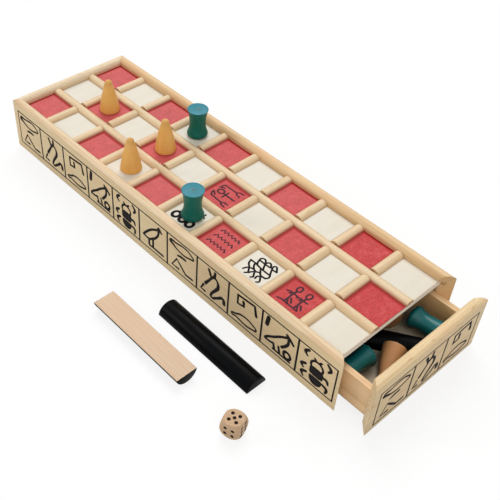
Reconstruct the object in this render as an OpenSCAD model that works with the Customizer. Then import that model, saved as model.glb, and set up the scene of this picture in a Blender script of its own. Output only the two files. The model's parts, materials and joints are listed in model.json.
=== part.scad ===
// Senet board with a drawer, playing pieces, throwing sticks and a die.
// Lengths are in millimetres. +Z is up, and Z = 0 is the table.
// The origin is the centre of the case's underside, seen along its length between the outer faces.
// +X runs along the board towards the drawer, and +Y runs across it.

/* [Squares] */
// Clear width of one square between the strips
square_size = 29; // [24:0.5:34]
// Number of squares along the board
columns = 10; // [8:1:11]
// Width of the half-round strips between the squares
strip_w = 8.5; // [6.5:0.5:11]
// Height of the strips above the playing panel
strip_h = 3.3; // [2.5:0.1:5]
// How far the panel and the long strips run on beyond the last squares
panel_lip = 2.6; // [1.5:0.1:6]
// Gap between a short strip and the long strip on its left
strip_gap = 0.3; // [0.2:0.1:2]
// Thickness of the coat of red stain
stain_t = 0.3; // [0.2:0.1:0.6]
// Bare edge between the last red square and the end of the panel
stain_inset = 0.3; // [0.1:0.1:1.4]

/* [Case] */
// Height of the case at the crown of its moulding
case_h = 49; // [46:0.5:60]
// Thickness of the frame moulding
rail_t = 8.2; // [7:0.1:12]
// Radius of the rounded crown beyond half the moulding's thickness
crown_over = 0.5; // [0.2:0.1:2]
// Distance of the crown from the moulding's middle, towards its outer face
crown_shift = 0.3; // [0.1:0.1:0.8]
// Depth of the playing surface below the crown
panel_drop = 6; // [5:0.1:8]
// Thickness of the playing panel
panel_t = 4; // [2.5:0.1:4.5]
// Thickness of the case's bottom panel, which lies flush in a rabbet
bottom_t = 6; // [4:0.1:7]
// Depth of the panel's groove and of the bottom's rabbet
groove_d = 4; // [2.5:0.1:5]
// Gap between a panel's edge and the rail behind it
groove_gap = 0.3; // [0.1:0.1:0.8]

/* [Drawer] */
// How far the drawer stands open
drawer_open = 26; // [0:1:60]
// Length of the drawer behind its front
drawer_len = 180; // [165:5:260]
// Thickness of the drawer's sides and back
side_t = 4.7; // [3.5:0.1:6]
// Height of the drawer's sides
side_h = 27; // [24:0.5:30]
// Gap between a drawer side and the rail beside it
side_gap = 0.7; // [0.4:0.1:1.2]
// Gap between the drawer and the bottom panel
run_gap = 0.3; // [0.2:0.1:0.8]
// Gap between the shut drawer front and the case
front_gap = 0.2; // [0.1:0.1:0.6]
// Gap between the drawer front and the table
front_lift = 0.4; // [0.2:0.1:1]
// Thickness of the drawer's bottom
tray_t = 3; // [2:0.1:4]
// Height of the drawer's bottom above the lower edge of its sides
tray_rise = 2.5; // [1.5:0.1:4]
// Depth of the drawer's grooves and of the housings for its sides
housing_d = 2.4; // [1.5:0.1:3]

/* [Playing pieces] */
// Largest diameter of a cone or spool
piece_d = 17.8; // [14:0.1:19]
// Height of a cone
cone_h = 29.6; // [26:0.1:36]
// Diameter of a cone's round tip
cone_tip_d = 6.4; // [4:0.1:9]
// Height of a cone's short upright foot
cone_foot_h = 1; // [0.4:0.1:2]
// How far a cone's side swells beyond a straight taper
cone_swell = 0.5; // [0.2:0.1:1.2]
// Height of a spool
spool_h = 26; // [20:0.5:28]
// Diameter of a spool's waist
waist_d = 13.8; // [10:0.1:13.8]
// Height of a spool's waist above its foot
waist_z = 12; // [9:0.1:13]
// Radius of a spool's round belly
belly_r = 3; // [2:0.1:4]
// Height of a spool's widest point above its foot
belly_z = 2.6; // [1.8:0.1:3.5]
// Chamfer round a spool's flat top
top_chamfer = 0.4; // [0.2:0.1:1]

/* [Throwing sticks] */
// Length of a stick
stick_len = 94.5; // [80:0.5:105]
// Width of a stick's flat side
stick_w = 18.2; // [14:0.1:20]
// Height of a stick's round back above its flat side
stick_h = 8.5; // [5:0.1:9]

/* [Die] */
// Width of the die across its faces
die_size = 14.3; // [12:0.1:20]
// How far the ball that rounds the die's corners stands beyond its faces
die_round = 2.7; // [2:0.1:5]
// Diameter of a pip
pip_d = 2.6; // [1.5:0.1:3]
// Depth of a pip
pip_depth = 0.6; // [0.3:0.1:1]
// Distance between the outer pips of a face
pip_pitch = 5.4; // [4.2:0.1:6]

/* [Layout on the table] */
// Gap between the case and the stick that lies round side up
stick_round_gap = 17; // [5:1:40]
// Distance of that stick's far end from the middle of the case
stick_round_x = 50.5; // [0:0.5:90]
// Gap between the two sticks
stick_flat_gap = 15.2; // [5:0.1:30]
// Distance of the other stick's far end from the middle of the case
stick_flat_x = 16.3; // [-60:0.1:60]
// Gap between that stick's near end and the die's centre
die_gap = 49.2; // [20:0.1:70]
// Distance of the die's centre from that stick's middle line
die_shift = 2.3; // [-10:0.1:10]
// Turn of the die about the upright
die_turn = 17.5; // [0:0.5:90]

/* [Hidden] */
$fn = 72;
eps = 0.01;

pitch = square_size + strip_w;
inner_w = 3 * square_size + 2 * strip_w;
case_w = inner_w + 2 * rail_t;
panel_len = columns * pitch - strip_w + panel_lip;
case_len = panel_len + 2 * rail_t;
inner_x0 = -case_len / 2 + rail_t;
panel_x1 = case_len / 2 - rail_t;
inner_y0 = -inner_w / 2;

crown_r = rail_t / 2 + crown_over;
crown_z = case_h - crown_r;
panel_top = case_h - panel_drop;

shut_x = panel_x1 + front_gap;
rear_x = shut_x + drawer_open;
drawer_z = bottom_t + run_gap;
drawer_w = inner_w - 2 * side_gap;
tray_w = drawer_w - 2 * side_t;
tray_z = drawer_z + tray_rise;
tray_top = tray_z + tray_t;

piece_r = piece_d / 2;
tip_r = cone_tip_d / 2;
waist_r = waist_d / 2;
cone_lean = atan((piece_r - tip_r) / (cone_h - tip_r - cone_foot_h));

// Squares that carry pieces: column, row, and shifts along both as shares of a square
cone_far_at = [1, 1, -0.026, 0.033];
cone_middle_at = [3, 1, -0.009, 0.056];
cone_near_at = [3, 0, 0.046, 0.062];
spool_far_at = [3, 2, 0.038, -0.057];
spool_near_at = [5, 0, 0.079, 0.046];

// Middle lines of the two sticks on the table
round_stick_y = -case_w / 2 - stick_round_gap - stick_w / 2;
flat_stick_y = round_stick_y - stick_w - stick_flat_gap;

// Stored pieces: gap to the drawer's walls, and gap to the slanting stick
store_gap = 2.5;
stick_gap = 1.8;
// Turns of the stored front cone, back cone and right spool from the board's two directions
front_cone_turn = 22;
back_cone_turn = 27;
right_spool_turn = 5;
// Gaps from the drawer front to the right spool and to the back spool
right_spool_gap = 2.5;
back_spool_gap = 74;
// Gaps from the drawer front to the left spool, and from that spool to the left wall
left_spool_gap = 17.4;
left_wall_gap = 0.4;

// The slanting stick reaches from beside the right spool to the left wall
slant_width = tray_w - piece_d - 1.3 * store_gap - store_gap - stick_w;
slant = asin(slant_width / stick_len);
slant_dir = [-cos(slant), -sin(slant)];
slant_side = [-sin(slant), cos(slant)];
slant_near_left = [-0.7 * store_gap, tray_w / 2 - piece_d - 1.3 * store_gap - stick_w * cos(slant)];
slant_near_right = slant_near_left + stick_w * slant_side;

// The front cone's foot stands clear of the slanting stick's left edge
front_cone_side = [-cos(front_cone_turn), -sin(front_cone_turn)];
front_cone_x = -1.5 * store_gap - (cone_h - tip_r) * sin(front_cone_turn) - tip_r;
front_edge_x = front_cone_x + piece_r * front_cone_side.x;
front_edge_y = y_beside_slant(slant_near_left, front_edge_x, -stick_gap / 2);
front_cone_y = front_edge_y - piece_r * front_cone_side.y;

// The back cone's foot lies between the stick's right edge and the right spool's foot
right_spool_foot_x = -right_spool_gap - spool_h * cos(right_spool_turn);
back_cone_side = [sin(back_cone_turn), cos(back_cone_turn)];
back_cone_x = right_spool_foot_x - 2 * stick_gap - piece_r * back_cone_side.x;
back_edge_x = back_cone_x - piece_r * back_cone_side.x;
back_edge_y = y_beside_slant(slant_near_right, back_edge_x, stick_gap);
back_cone_y = back_edge_y + piece_r * back_cone_side.y;

// Y of a line along the slanting stick through a corner, at this X and this distance from it
function y_beside_slant(corner, x, gap) =
    corner.y + ((x - corner.x) * sin(slant) + gap) / cos(slant);

ROW_NAMES = ["left", "middle", "right"];
function short_strip_name(row, column) = str("short_strip_", ROW_NAMES[row], "_", column + 1);

PINE = [0.87, 0.74, 0.54];
PLY = [0.93, 0.89, 0.79];
RED = [0.75, 0.16, 0.18];
GREEN = [0.02, 0.34, 0.31];
GOLD = [0.78, 0.55, 0.24];
BLACK = [0.05, 0.05, 0.06];
BEECH = [0.82, 0.64, 0.45];

// Section of the frame moulding: X is the depth from its outer face, Y is the height
module moulding_section() {
    square([rail_t, crown_z]);
    intersection() {
        square([rail_t, case_h]);
        translate([rail_t / 2 - crown_shift, crown_z]) circle(crown_r);
    }
}

// The same section with the playing panel's groove and the bottom panel's rabbet
module grooved_section() {
    difference() {
        moulding_section();
        translate([rail_t - groove_d, panel_top - panel_t]) square([groove_d + eps, panel_t]);
        translate([rail_t - groove_d, -eps]) square([groove_d + eps, bottom_t + eps]);
    }
}

// Extrudes a section along +X, with the section's X along +Y and its Y along +Z
module along_x(length) {
    rotate([90, 0, 90]) linear_extrude(length) children();
}

// Extrudes a section along +Y, with its X and Y along +X and +Z, from Y = 0
module along_y(length) {
    translate([0, length, 0]) rotate([90, 0, 0]) linear_extrude(length) children();
}

// Flat block with its two ends mitred: length is its outer edge, along +X from the origin
module mitred_block(length) {
    linear_extrude(case_h + 1)
        polygon([[0, 0], [length, 0], [length - rail_t, rail_t], [rail_t, rail_t]]);
}

// Rail along the board, with its outer face towards -Y
module side_rail() {
    translate([-case_len / 2, -case_w / 2, 0])
        intersection() {
            along_x(case_len) grooved_section();
            mitred_block(case_len);
        }
}

module left_rail() {
    color(PINE) side_rail();
}

module right_rail() {
    color(PINE) mirror([0, 1, 0]) side_rail();
}

// Rail across the board, with its outer face towards -X
module end_rail() {
    color(PINE)
        translate([-case_len / 2, case_w / 2, 0])
            rotate([0, 0, -90])
                intersection() {
                    along_x(case_w) grooved_section();
                    mitred_block(case_w);
                }
}

// Panel let into three rails, open at the drawer end
module grooved_panel(z, thickness) {
    reach = groove_d - groove_gap;
    translate([inner_x0 - reach, inner_y0 - reach, z])
        cube([panel_len + reach, inner_w + 2 * reach, thickness]);
}

module playing_panel() {
    color(PLY) grooved_panel(panel_top - panel_t, panel_t);
}

module bottom_panel() {
    color(PLY) grooved_panel(0, bottom_t);
}

// Coat of stain on every second square
module red_squares() {
    last_len = square_size + panel_lip - stain_inset;
    color(RED)
        for (row = [0:2], column = [0:columns - 1])
            if ((row + column) % 2 == 0)
                translate([inner_x0 + column * pitch, inner_y0 + row * pitch, panel_top])
                    cube([column == columns - 1 ? last_len : square_size, square_size, stain_t]);
}

// Half-round section of the strips, standing on its flat side
module strip_section() {
    radius = (strip_w * strip_w / 4 + strip_h * strip_h) / (2 * strip_h);
    intersection() {
        translate([-strip_w / 2, 0]) square([strip_w, strip_h]);
        translate([0, strip_h - radius]) circle(radius);
    }
}

// Strip along the board between two rows
module long_strip(row) {
    color(PINE)
        translate([inner_x0, inner_y0 + row * pitch + square_size + strip_w / 2, panel_top])
            along_x(panel_len) strip_section();
}

module long_strip_left() {
    long_strip(0);
}

module long_strip_right() {
    long_strip(1);
}

// Strip across one row, after the square in this column
module short_strip(row, column) {
    gap = row == 0 ? 0 : strip_gap;
    x = inner_x0 + column * pitch + square_size + strip_w / 2;
    color(PINE)
        translate([x, inner_y0 + row * pitch + gap, panel_top])
            along_y(square_size - gap) strip_section();
}

// Places children in the drawer: X = 0 is the rear of its front, Z = 0 the top of its bottom
module in_tray() {
    translate([rear_x, 0, tray_top]) children();
}

// Cut for the drawer's bottom, the same in its front and sides
module tray_groove(x0, x1) {
    half_w = tray_w / 2 + housing_d;
    translate([x0, -half_w, tray_z]) cube([x1 - x0, 2 * half_w, tray_t]);
}

// Fourth side of the frame, which carries the drawer
module drawer_front() {
    color(PINE)
        difference() {
            translate([rear_x + rail_t, -case_w / 2, 0])
                rotate([0, 0, 90])
                    intersection() {
                        along_x(case_w) moulding_section();
                        mitred_block(case_w);
                        translate([0, 0, front_lift]) cube([case_w, rail_t, case_h]);
                    }
            for (side = [-1, 1])
                translate([rear_x - eps, side * (drawer_w - side_t) / 2 - side_t / 2, drawer_z])
                    cube([housing_d + eps, side_t, side_h]);
            tray_groove(rear_x - eps, rear_x + housing_d);
        }
}

// Side of the drawer on -Y, grooved for the drawer's bottom
module drawer_side() {
    difference() {
        translate([rear_x - drawer_len, -drawer_w / 2, drawer_z])
            cube([drawer_len + housing_d, side_t, side_h]);
        tray_groove(rear_x - drawer_len - eps, rear_x + housing_d + eps);
    }
}

module drawer_side_left() {
    color(PINE) drawer_side();
}

module drawer_side_right() {
    color(PINE) mirror([0, 1, 0]) drawer_side();
}

// Back of the drawer, standing on its bottom between the sides
module drawer_back() {
    color(PINE)
        translate([rear_x - drawer_len, -tray_w / 2, tray_top])
            cube([side_t, tray_w, drawer_z + side_h - tray_top]);
}

module drawer_bottom() {
    color(PLY) tray_groove(rear_x - drawer_len, rear_x + housing_d);
}

// Cone with a short foot, a slightly swelling side and a ball tip, standing at the origin
module cone_shape() {
    rise = cone_h - tip_r - cone_foot_h;
    chord = norm([piece_r - tip_r, rise]);
    side_r = (chord * chord / 4 + cone_swell * cone_swell) / (2 * cone_swell);
    middle = [(piece_r + tip_r) / 2, cone_foot_h + rise / 2];
    inward = [-rise, -(piece_r - tip_r)] / chord;
    centre = middle + inward * (side_r - cone_swell);
    rotate_extrude() {
        square([piece_r, cone_foot_h]);
        intersection() {
            translate([0, cone_foot_h]) square([piece_r + cone_swell, rise]);
            translate(centre) circle(side_r, $fn = 360);
        }
        intersection() {
            translate([0, cone_foot_h + rise]) circle(tip_r);
            translate([0, cone_foot_h + rise - eps]) square([tip_r, tip_r + 2 * eps]);
        }
    }
}

// Spool with a round belly, a hollow waist and a flaring flat top, standing at the origin
module spool_shape() {
    belly_x = piece_r - belly_r;
    drop = waist_z - belly_z;
    reach = waist_r - belly_x;
    low_r = (reach * reach + drop * drop - belly_r * belly_r) / (2 * (belly_r - reach));
    meet = belly_r / (low_r + belly_r);
    meet_z = belly_z + drop * meet;
    meet_x = belly_x + (waist_r + low_r - belly_x) * meet;
    rise = spool_h - waist_z;
    flare = piece_r - waist_r;
    high_r = (rise * rise + flare * flare) / (2 * flare);
    rotate_extrude() {
        square([belly_x, meet_z]);
        intersection() {
            translate([belly_x, belly_z]) circle(belly_r);
            square([piece_r, meet_z]);
        }
        difference() {
            translate([0, meet_z]) square([meet_x, waist_z - meet_z]);
            translate([waist_r + low_r, waist_z]) circle(low_r);
        }
        difference() {
            translate([0, waist_z]) square([piece_r, rise]);
            translate([waist_r + high_r, waist_z]) circle(high_r, $fn = 360);
            translate([piece_r, spool_h]) rotate(45) square(top_chamfer * sqrt(2), center = true);
        }
    }
}

// Half-round stick on its flat side, along +X from the origin
module stick_shape() {
    radius = (stick_w * stick_w / 4 + stick_h * stick_h) / (2 * stick_h);
    along_x(stick_len)
        intersection() {
            translate([-stick_w / 2, 0]) square([stick_w, stick_h]);
            translate([0, stick_h - radius]) circle(radius, $fn = 144);
        }
}

// The same stick on its round back
module stick_on_its_back() {
    translate([0, 0, stick_h]) rotate([180, 0, 0]) stick_shape();
}

// Half-spaces between pips, as multiples of the outer pips' distance from the middle
function pips(count) =
    count == 1 ? [[0, 0]] :
    count == 2 ? [[-1, 1], [1, -1]] :
    count == 3 ? [[-1, 1], [0, 0], [1, -1]] :
    count == 4 ? [for (x = [-1, 1], y = [-1, 1]) [x, y]] :
    count == 5 ? concat([[0, 0]], pips(4)) :
    [for (x = [-1.4, 0, 1.4], y = [-1, 1]) [x, y]];

// Balls that cut one face's pips, for the face towards +Z of a die about the origin
module pip_cuts(count) {
    ball_r = (pip_d * pip_d / 4 + pip_depth * pip_depth) / (2 * pip_depth);
    for (at = pips(count))
        translate([at.x * pip_pitch / 2, at.y * pip_pitch / 2, die_size / 2 + ball_r - pip_depth])
            sphere(ball_r, $fn = 32);
}

// Standing cone or spool on a square, moved by its own shift
module on_square(at) {
    x = inner_x0 + at[0] * pitch + (0.5 + at[2]) * square_size;
    y = inner_y0 + at[1] * pitch + (0.5 + at[3]) * square_size;
    z = panel_top + ((at[0] + at[1]) % 2 == 0 ? stain_t : 0);
    translate([x, y, z]) children();
}

module cone_far() {
    color(GOLD) on_square(cone_far_at) cone_shape();
}

module cone_middle() {
    color(GOLD) on_square(cone_middle_at) cone_shape();
}

module cone_near() {
    color(GOLD) on_square(cone_near_at) cone_shape();
}

module spool_far() {
    color(GREEN) on_square(spool_far_at) spool_shape();
}

module spool_near() {
    color(GREEN) on_square(spool_near_at) spool_shape();
}

// Spool on its side, its foot at the origin and its top towards +X
module lying_spool() {
    translate([0, 0, piece_r]) rotate([0, 90, 0]) spool_shape();
}

// Cone on its side, its foot at the origin and its tip towards +X
module lying_cone() {
    touch = piece_r * cos(cone_lean) + cone_foot_h * sin(cone_lean) + cone_swell;
    translate([0, 0, touch]) rotate([0, 90 + cone_lean, 0]) cone_shape();
}

module stored_spool_left() {
    foot_y = -tray_w / 2 + left_wall_gap + spool_h;
    color(GREEN)
        in_tray()
            translate([-left_spool_gap - piece_r, foot_y, 0]) rotate([0, 0, -90]) lying_spool();
}

module stored_spool_right() {
    y = tray_w / 2 - 1.6 * store_gap - piece_r;
    color(GREEN)
        in_tray()
            translate([-right_spool_gap, y, 0])
                rotate([0, 0, right_spool_turn]) translate([-spool_h, 0, 0]) lying_spool();
}

module stored_spool_back() {
    y = tray_w / 2 - 1.6 * store_gap - piece_r;
    color(GREEN)
        in_tray() translate([-back_spool_gap, y, 0]) rotate([0, 0, 180]) lying_spool();
}

module stored_cone_front() {
    color(GOLD)
        in_tray()
            translate([front_cone_x, front_cone_y, 0])
                rotate([0, 0, front_cone_turn - 90]) lying_cone();
}

module stored_cone_back() {
    color(GOLD)
        in_tray()
            translate([back_cone_x, back_cone_y, 0])
                rotate([0, 0, 180 - back_cone_turn]) lying_cone();
}

module stored_stick_front() {
    start = (slant_near_left + slant_near_right) / 2;
    color(BLACK)
        in_tray() translate([start.x, start.y, 0]) rotate([0, 0, 180 + slant]) stick_shape();
}

module stored_stick_back() {
    y = tray_w / 2 - 3.1 * store_gap - piece_d - stick_w / 2;
    color(BLACK)
        in_tray() translate([-drawer_len + side_t + store_gap, y, 0]) stick_shape();
}

module stick_round_up() {
    color(BLACK) translate([stick_round_x, round_stick_y, 0]) stick_shape();
}

module stick_flat_up() {
    color(BEECH) translate([stick_flat_x, flat_stick_y, 0]) stick_on_its_back();
}

module die() {
    color(BEECH)
        translate([stick_flat_x + stick_len + die_gap, flat_stick_y - die_shift, die_size / 2])
            rotate([0, 0, die_turn])
                difference() {
                    intersection() {
                        cube(die_size, center = true);
                        sphere(die_size / 2 + die_round, $fn = 96);
                    }
                    pip_cuts(5);
                    rotate([180, 0, 0]) pip_cuts(2);
                    rotate([90, 0, 0]) pip_cuts(4);
                    rotate([-90, 0, 0]) pip_cuts(3);
                    rotate([0, 90, 0]) pip_cuts(6);
                    rotate([0, -90, 0]) pip_cuts(1);
                }
}

left_rail();
right_rail();
end_rail();
playing_panel();
bottom_panel();
red_squares();
long_strip_left();
long_strip_right();
for (row = [0:2], column = [0:columns - 2])
    short_strip(row, column);
drawer_front();
drawer_side_left();
drawer_side_right();
drawer_back();
drawer_bottom();
stored_spool_left();
stored_spool_right();
stored_spool_back();
stored_cone_front();
stored_cone_back();
stored_stick_front();
stored_stick_back();
cone_far();
cone_middle();
cone_near();
spool_far();
spool_near();
stick_round_up();
stick_flat_up();
die();
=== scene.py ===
import json
from math import asin, atan2, cos, degrees, pi, radians, sin, sqrt

import bmesh
import bpy
from bpy.props import FloatProperty, FloatVectorProperty, PointerProperty
from mathutils import Matrix, Vector

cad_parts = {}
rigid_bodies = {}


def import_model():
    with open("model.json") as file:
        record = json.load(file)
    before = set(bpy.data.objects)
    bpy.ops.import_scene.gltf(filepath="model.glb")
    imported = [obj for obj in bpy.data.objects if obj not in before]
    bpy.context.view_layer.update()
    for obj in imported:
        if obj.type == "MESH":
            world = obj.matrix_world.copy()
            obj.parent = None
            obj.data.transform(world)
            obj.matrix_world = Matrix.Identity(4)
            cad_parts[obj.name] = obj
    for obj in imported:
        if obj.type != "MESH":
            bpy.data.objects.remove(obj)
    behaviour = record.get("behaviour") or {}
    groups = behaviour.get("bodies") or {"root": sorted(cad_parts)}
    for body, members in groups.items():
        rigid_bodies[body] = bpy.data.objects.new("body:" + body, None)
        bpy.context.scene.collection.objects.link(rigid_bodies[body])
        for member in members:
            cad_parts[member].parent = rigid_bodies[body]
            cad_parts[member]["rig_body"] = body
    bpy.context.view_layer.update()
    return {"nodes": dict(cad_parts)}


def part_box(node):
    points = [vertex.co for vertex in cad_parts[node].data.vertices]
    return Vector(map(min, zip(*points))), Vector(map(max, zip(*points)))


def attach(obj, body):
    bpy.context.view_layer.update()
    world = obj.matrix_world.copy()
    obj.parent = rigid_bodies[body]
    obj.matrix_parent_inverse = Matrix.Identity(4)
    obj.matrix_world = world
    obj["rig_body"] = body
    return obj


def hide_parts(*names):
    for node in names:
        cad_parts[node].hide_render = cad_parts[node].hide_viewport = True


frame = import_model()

bl_info = {
    "name": "Senet board",
    "version": (1, 0, 0),
    "blender": (4, 5, 0),
    "location": "View3D > Sidebar > Senet",
    "description": "Finishes, loose pieces, painted signs and studio of a wooden senet board",
    "category": "Add Mesh",
}

MM = 0.001

# Sizes of the board that the signs and the finishes follow, in metres
SQUARE_FIRST = Vector((-184.55, -52.0, 43.0)) * MM
SQUARE_STEP = 37.5 * MM
SQUARE_SIDE = 29.0 * MM
LAST_COLUMN = 9
LAST_SQUARE_EXTRA = 2.3 * MM
STAIN_HIGH = 0.3 * MM
TRAY_FLOOR = 11.8 * MM
RAIL_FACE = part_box("left_rail")[0].y
FRONT_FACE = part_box("drawer_front")[1].x
PANELS = ("playing_panel", "bottom_panel", "drawer_bottom")

# How the grain lies, where the pith of a log lies beside a piece, how far rings wander,
# how thick a face veneer is at most, and the colour of the shade painted into the drawer's depth
ALONG = (0.0, 0.0, 0.0)
ACROSS = (0.0, 0.0, radians(90.0))
PLY_PITH = (0.0, 0.02, -0.4)
PLY_WANDER = 12.0 * MM
VENEER = 0.9 * MM
VENEER_SHARE = 0.28
DEEP_SHADE = (0.02, 0.015, 0.011)
STICK_PITH = (0.0, 0.004, 0.03)
STICK_WANDER = 4.0 * MM

# Numbers that give each loose piece its own grain and runs of paint
FIRST_STORED_CONE = 3
FIRST_SPOOL = 7
FIRST_STORED_SPOOL = 9
FIRST_STICK = 3
DIE_NUMBER = 5

# Pieces in the drawer: x and y of the foot or end that they turn about in mm, and their turn
STORED = {
    "stored_cone_front": (193.9104, -2.6056, -68.0),
    "stored_cone_back": (174.7084, 17.1770, 153.0),
    "stored_spool_left": (184.45, -20.2, -90.0),
    "stored_spool_right": (208.25, 33.7, 5.0),
    "stored_spool_back": (136.75, 33.7, 180.0),
    "stored_stick_front": (204.046, 17.917, 212.987),
    "stored_stick_back": (37.95, 11.95, 0.0),
}
PLACED_BY_ITS_TOP = "stored_spool_right"
DIE_TURN = radians(17.5)
CONE_FOOT = 1.0 * MM
CONE_SIDE_STEPS = 15
TURNED_STEPS = 72
PIP_MARGIN = 1.08

# Thickness of ink for each mm of a stroke's half width, and widths of strokes in mm
INK_DEPTH = 0.05 * MM
RULE_WIDTH = 1.8
AREA_WIDTH = 2.0    # half of it is 1, which leaves a filled shape's thickness as it is

# Sheets that the friezes are drawn on: the left rail's and the drawer front's outer faces
RAIL_SHEET = Matrix(((1, 0, 0, 0), (0, 0, -1, RAIL_FACE), (0, 1, 0, 0), (0, 0, 0, 1)))
FRONT_SHEET = Matrix(((0, 0, 1, FRONT_FACE), (1, 0, 0, 0), (0, 1, 0, 0), (0, 0, 0, 1)))

WHITE = (1.0, 1.0, 1.0)
SENSOR_WIDTH = 36.0
FLOOR_REACH = 6.0
FLOOR_DROP = 0.2 * MM
FLOOR_GLOW = 1.03
FLOOR_WHITE_SHARE = 0.80
# Lamps: name, the way to the lamp, its share of the key light and its width in degrees
LAMPS = (
    ("key", (-0.50, 0.50, 1.0), 0.94, 38.0),
    ("side", (-0.75, -0.65, 0.55), 0.28, 14.0),
    ("front", (0.85, -0.55, 1.00), 0.50, 70.0),
)


def box_of(node):
    low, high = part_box(node)
    return low, high, high - low


def standing(node):
    """Foot of a piece that stands upright."""
    low, high, _ = box_of(node)
    return Matrix.Translation(((low.x + high.x) / 2, (low.y + high.y) / 2, low.z))


def colour_field(name, description, default):
    return FloatVectorProperty(
        name=name, description=description, subtype="COLOR", size=3, min=0.0, max=1.0,
        default=default)


def length_field(name, description, default):
    return FloatProperty(
        name=name, description=description, subtype="DISTANCE", unit="LENGTH",
        min=0.0, precision=5, default=default)


class SenetSizes(bpy.types.PropertyGroup):
    piece_width: length_field(
        "Piece width", "Widest part of a cone and of a spool", box_of("cone_near")[2].x)
    cone_height: length_field(
        "Cone height", "Height of a cone over its foot", box_of("cone_near")[2].z)
    cone_tip: length_field("Cone tip", "Width of the ball at a cone's tip", 6.4 * MM)
    cone_swell: length_field("Cone swell", "How far a cone's side swells out", 0.5 * MM)
    spool_height: length_field(
        "Spool height", "Height of a spool over its foot", box_of("spool_near")[2].z)
    spool_waist: length_field("Spool waist", "Narrowest part of a spool", 13.8 * MM)
    waist_height: length_field("Waist height", "Height of a spool's waist", 12.0 * MM)
    belly_height: length_field("Belly height", "Height of a spool's lower bulge", 2.6 * MM)
    belly_radius: length_field("Belly radius", "Roundness of a spool's lower bulge", 3.0 * MM)
    stick_length: length_field(
        "Stick length", "Length of a throwing stick", box_of("stick_round_up")[2].x)
    stick_width: length_field(
        "Stick width", "Width of a stick's flat side", box_of("stick_round_up")[2].y)
    stick_height: length_field(
        "Stick height", "Height of a stick's round back", box_of("stick_round_up")[2].z)
    die_size: length_field("Die size", "Width of the die", box_of("die")[2].z)
    pip_spread: length_field(
        "Pip spread", "Distance between the outer pips of a five", 5.4 * MM)
    pip_width: length_field("Pip width", "Width of a drilled pip", 2.6 * MM)
    pip_depth: length_field("Pip depth", "Depth of a drilled pip", 0.6 * MM)


class SenetColours(bpy.types.PropertyGroup):
    pine_light: colour_field(
        "Pine, light", "Early wood of the rails", (0.79, 0.63, 0.42))
    pine_dark: colour_field(
        "Pine, dark", "Late wood of the rails", (0.58, 0.33, 0.14))
    strip_light: colour_field(
        "Strip, light", "Early wood of the strips", (0.77, 0.605, 0.385))
    strip_dark: colour_field(
        "Strip, dark", "Late wood of the strips", (0.62, 0.40, 0.20))
    ply_light: colour_field(
        "Plywood, light", "Face of the playing panel", (0.757, 0.721, 0.632))
    ply_dark: colour_field(
        "Plywood, dark", "Grain and middle ply of the panels", (0.66, 0.54, 0.38))
    stain_light: colour_field(
        "Stain, light", "Thin places of the red stain", (0.580, 0.097, 0.096))
    stain_deep: colour_field(
        "Stain, deep", "Well soaked places of the red stain", (0.495, 0.016, 0.018))
    # Pooled red stain, used also for the painted shadow of the strips and painted shade round
    # pieces
    stain_pool_and_shadow: colour_field(
        "Stain, edge", "Red stain pooled along the strips, with painted shadow of the strips", (0.340, 0.006, 0.006))
    gold: colour_field("Gold paint", "Paint of the cones", (0.87, 0.50, 0.150))
    gold_dark: colour_field(
        "Gold paint, thick", "Paint that ran towards the foot", (0.80, 0.395, 0.092))
    green: colour_field("Green paint", "Paint of the spools", (0.003, 0.142, 0.106))
    green_dark: colour_field(
        "Green paint, thick", "Paint in the waist of the spools", (0.002, 0.088, 0.066))
    # Painted bluish reflection of the bright room on a spool's flat top
    green_top_reflection: colour_field(
        "Green paint, top", "Painted bluish reflection on a spool's flat top", (0.001, 0.205, 0.280))
    black: colour_field("Black stain", "Stain of the sticks", (0.0012, 0.0015, 0.0020))
    bare_light: colour_field(
        "Bare wood, light", "Flat sides of the sticks and the die", (0.70, 0.525, 0.370))
    bare_dark: colour_field(
        "Bare wood, dark", "Grain of the bare wood", (0.52, 0.31, 0.16))
    ink: colour_field("Ink", "Printed and painted signs", (0.008, 0.006, 0.007))
    faded_ink: colour_field(
        "Ink on the stain", "Signs on the red squares", (0.060, 0.030, 0.040))


class SenetStudio(bpy.types.PropertyGroup):
    key_level: FloatProperty(
        name="Key light", description="Strength of the main soft light", min=0.0, default=1.88)
    fill_level: FloatProperty(
        name="Fill light", description="Strength of the soft light from everywhere", min=0.0,
        default=0.30)
    floor_colour: colour_field("Floor", "Colour of the pale floor", (0.86, 0.86, 0.86))
    camera_place: FloatVectorProperty(
        name="Camera place", description="Where the camera stands", subtype="TRANSLATION",
        unit="LENGTH", size=3, default=(0.36634, -0.34966, 0.45885))
    camera_turn: FloatProperty(
        name="Camera azimuth", description="Turn of the camera about the board",
        subtype="ANGLE", default=radians(46.373))
    camera_rise: FloatProperty(
        name="Camera elevation", description="Height angle of the camera",
        subtype="ANGLE", default=radians(43.556))
    camera_roll: FloatProperty(
        name="Camera roll", description="Tilt of the camera", subtype="ANGLE",
        default=radians(2.534))
    lens_length: FloatProperty(
        name="Lens", description="Focal length of the camera", unit="CAMERA", min=1.0,
        default=59.18)
    lens_shift: FloatVectorProperty(
        name="Lens shift", description="Shift of the picture across and up", subtype="XYZ",
        size=2, precision=4, default=(0.0853, -0.0125))


# ---------------------------------------------------------------- shader tools


def add_node(tree, kind, **settings):
    node = tree.nodes.new(kind)
    for key, value in settings.items():
        setattr(node, key, value)
    return node


def feed(tree, node, slot, value):
    """Link an output to a socket, or write a plain value into it."""
    socket = node.inputs[slot]
    if isinstance(value, bpy.types.NodeSocket):
        tree.links.new(value, socket)
    elif isinstance(value, (int, float)):
        socket.default_value = value
    else:
        value = tuple(value)
        socket.default_value = value + (1.0,) if len(value) < len(socket.default_value) else value


def feed_all(tree, node, values):
    for slot, value in values:
        feed(tree, node, slot, value)
    return node.outputs


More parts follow.
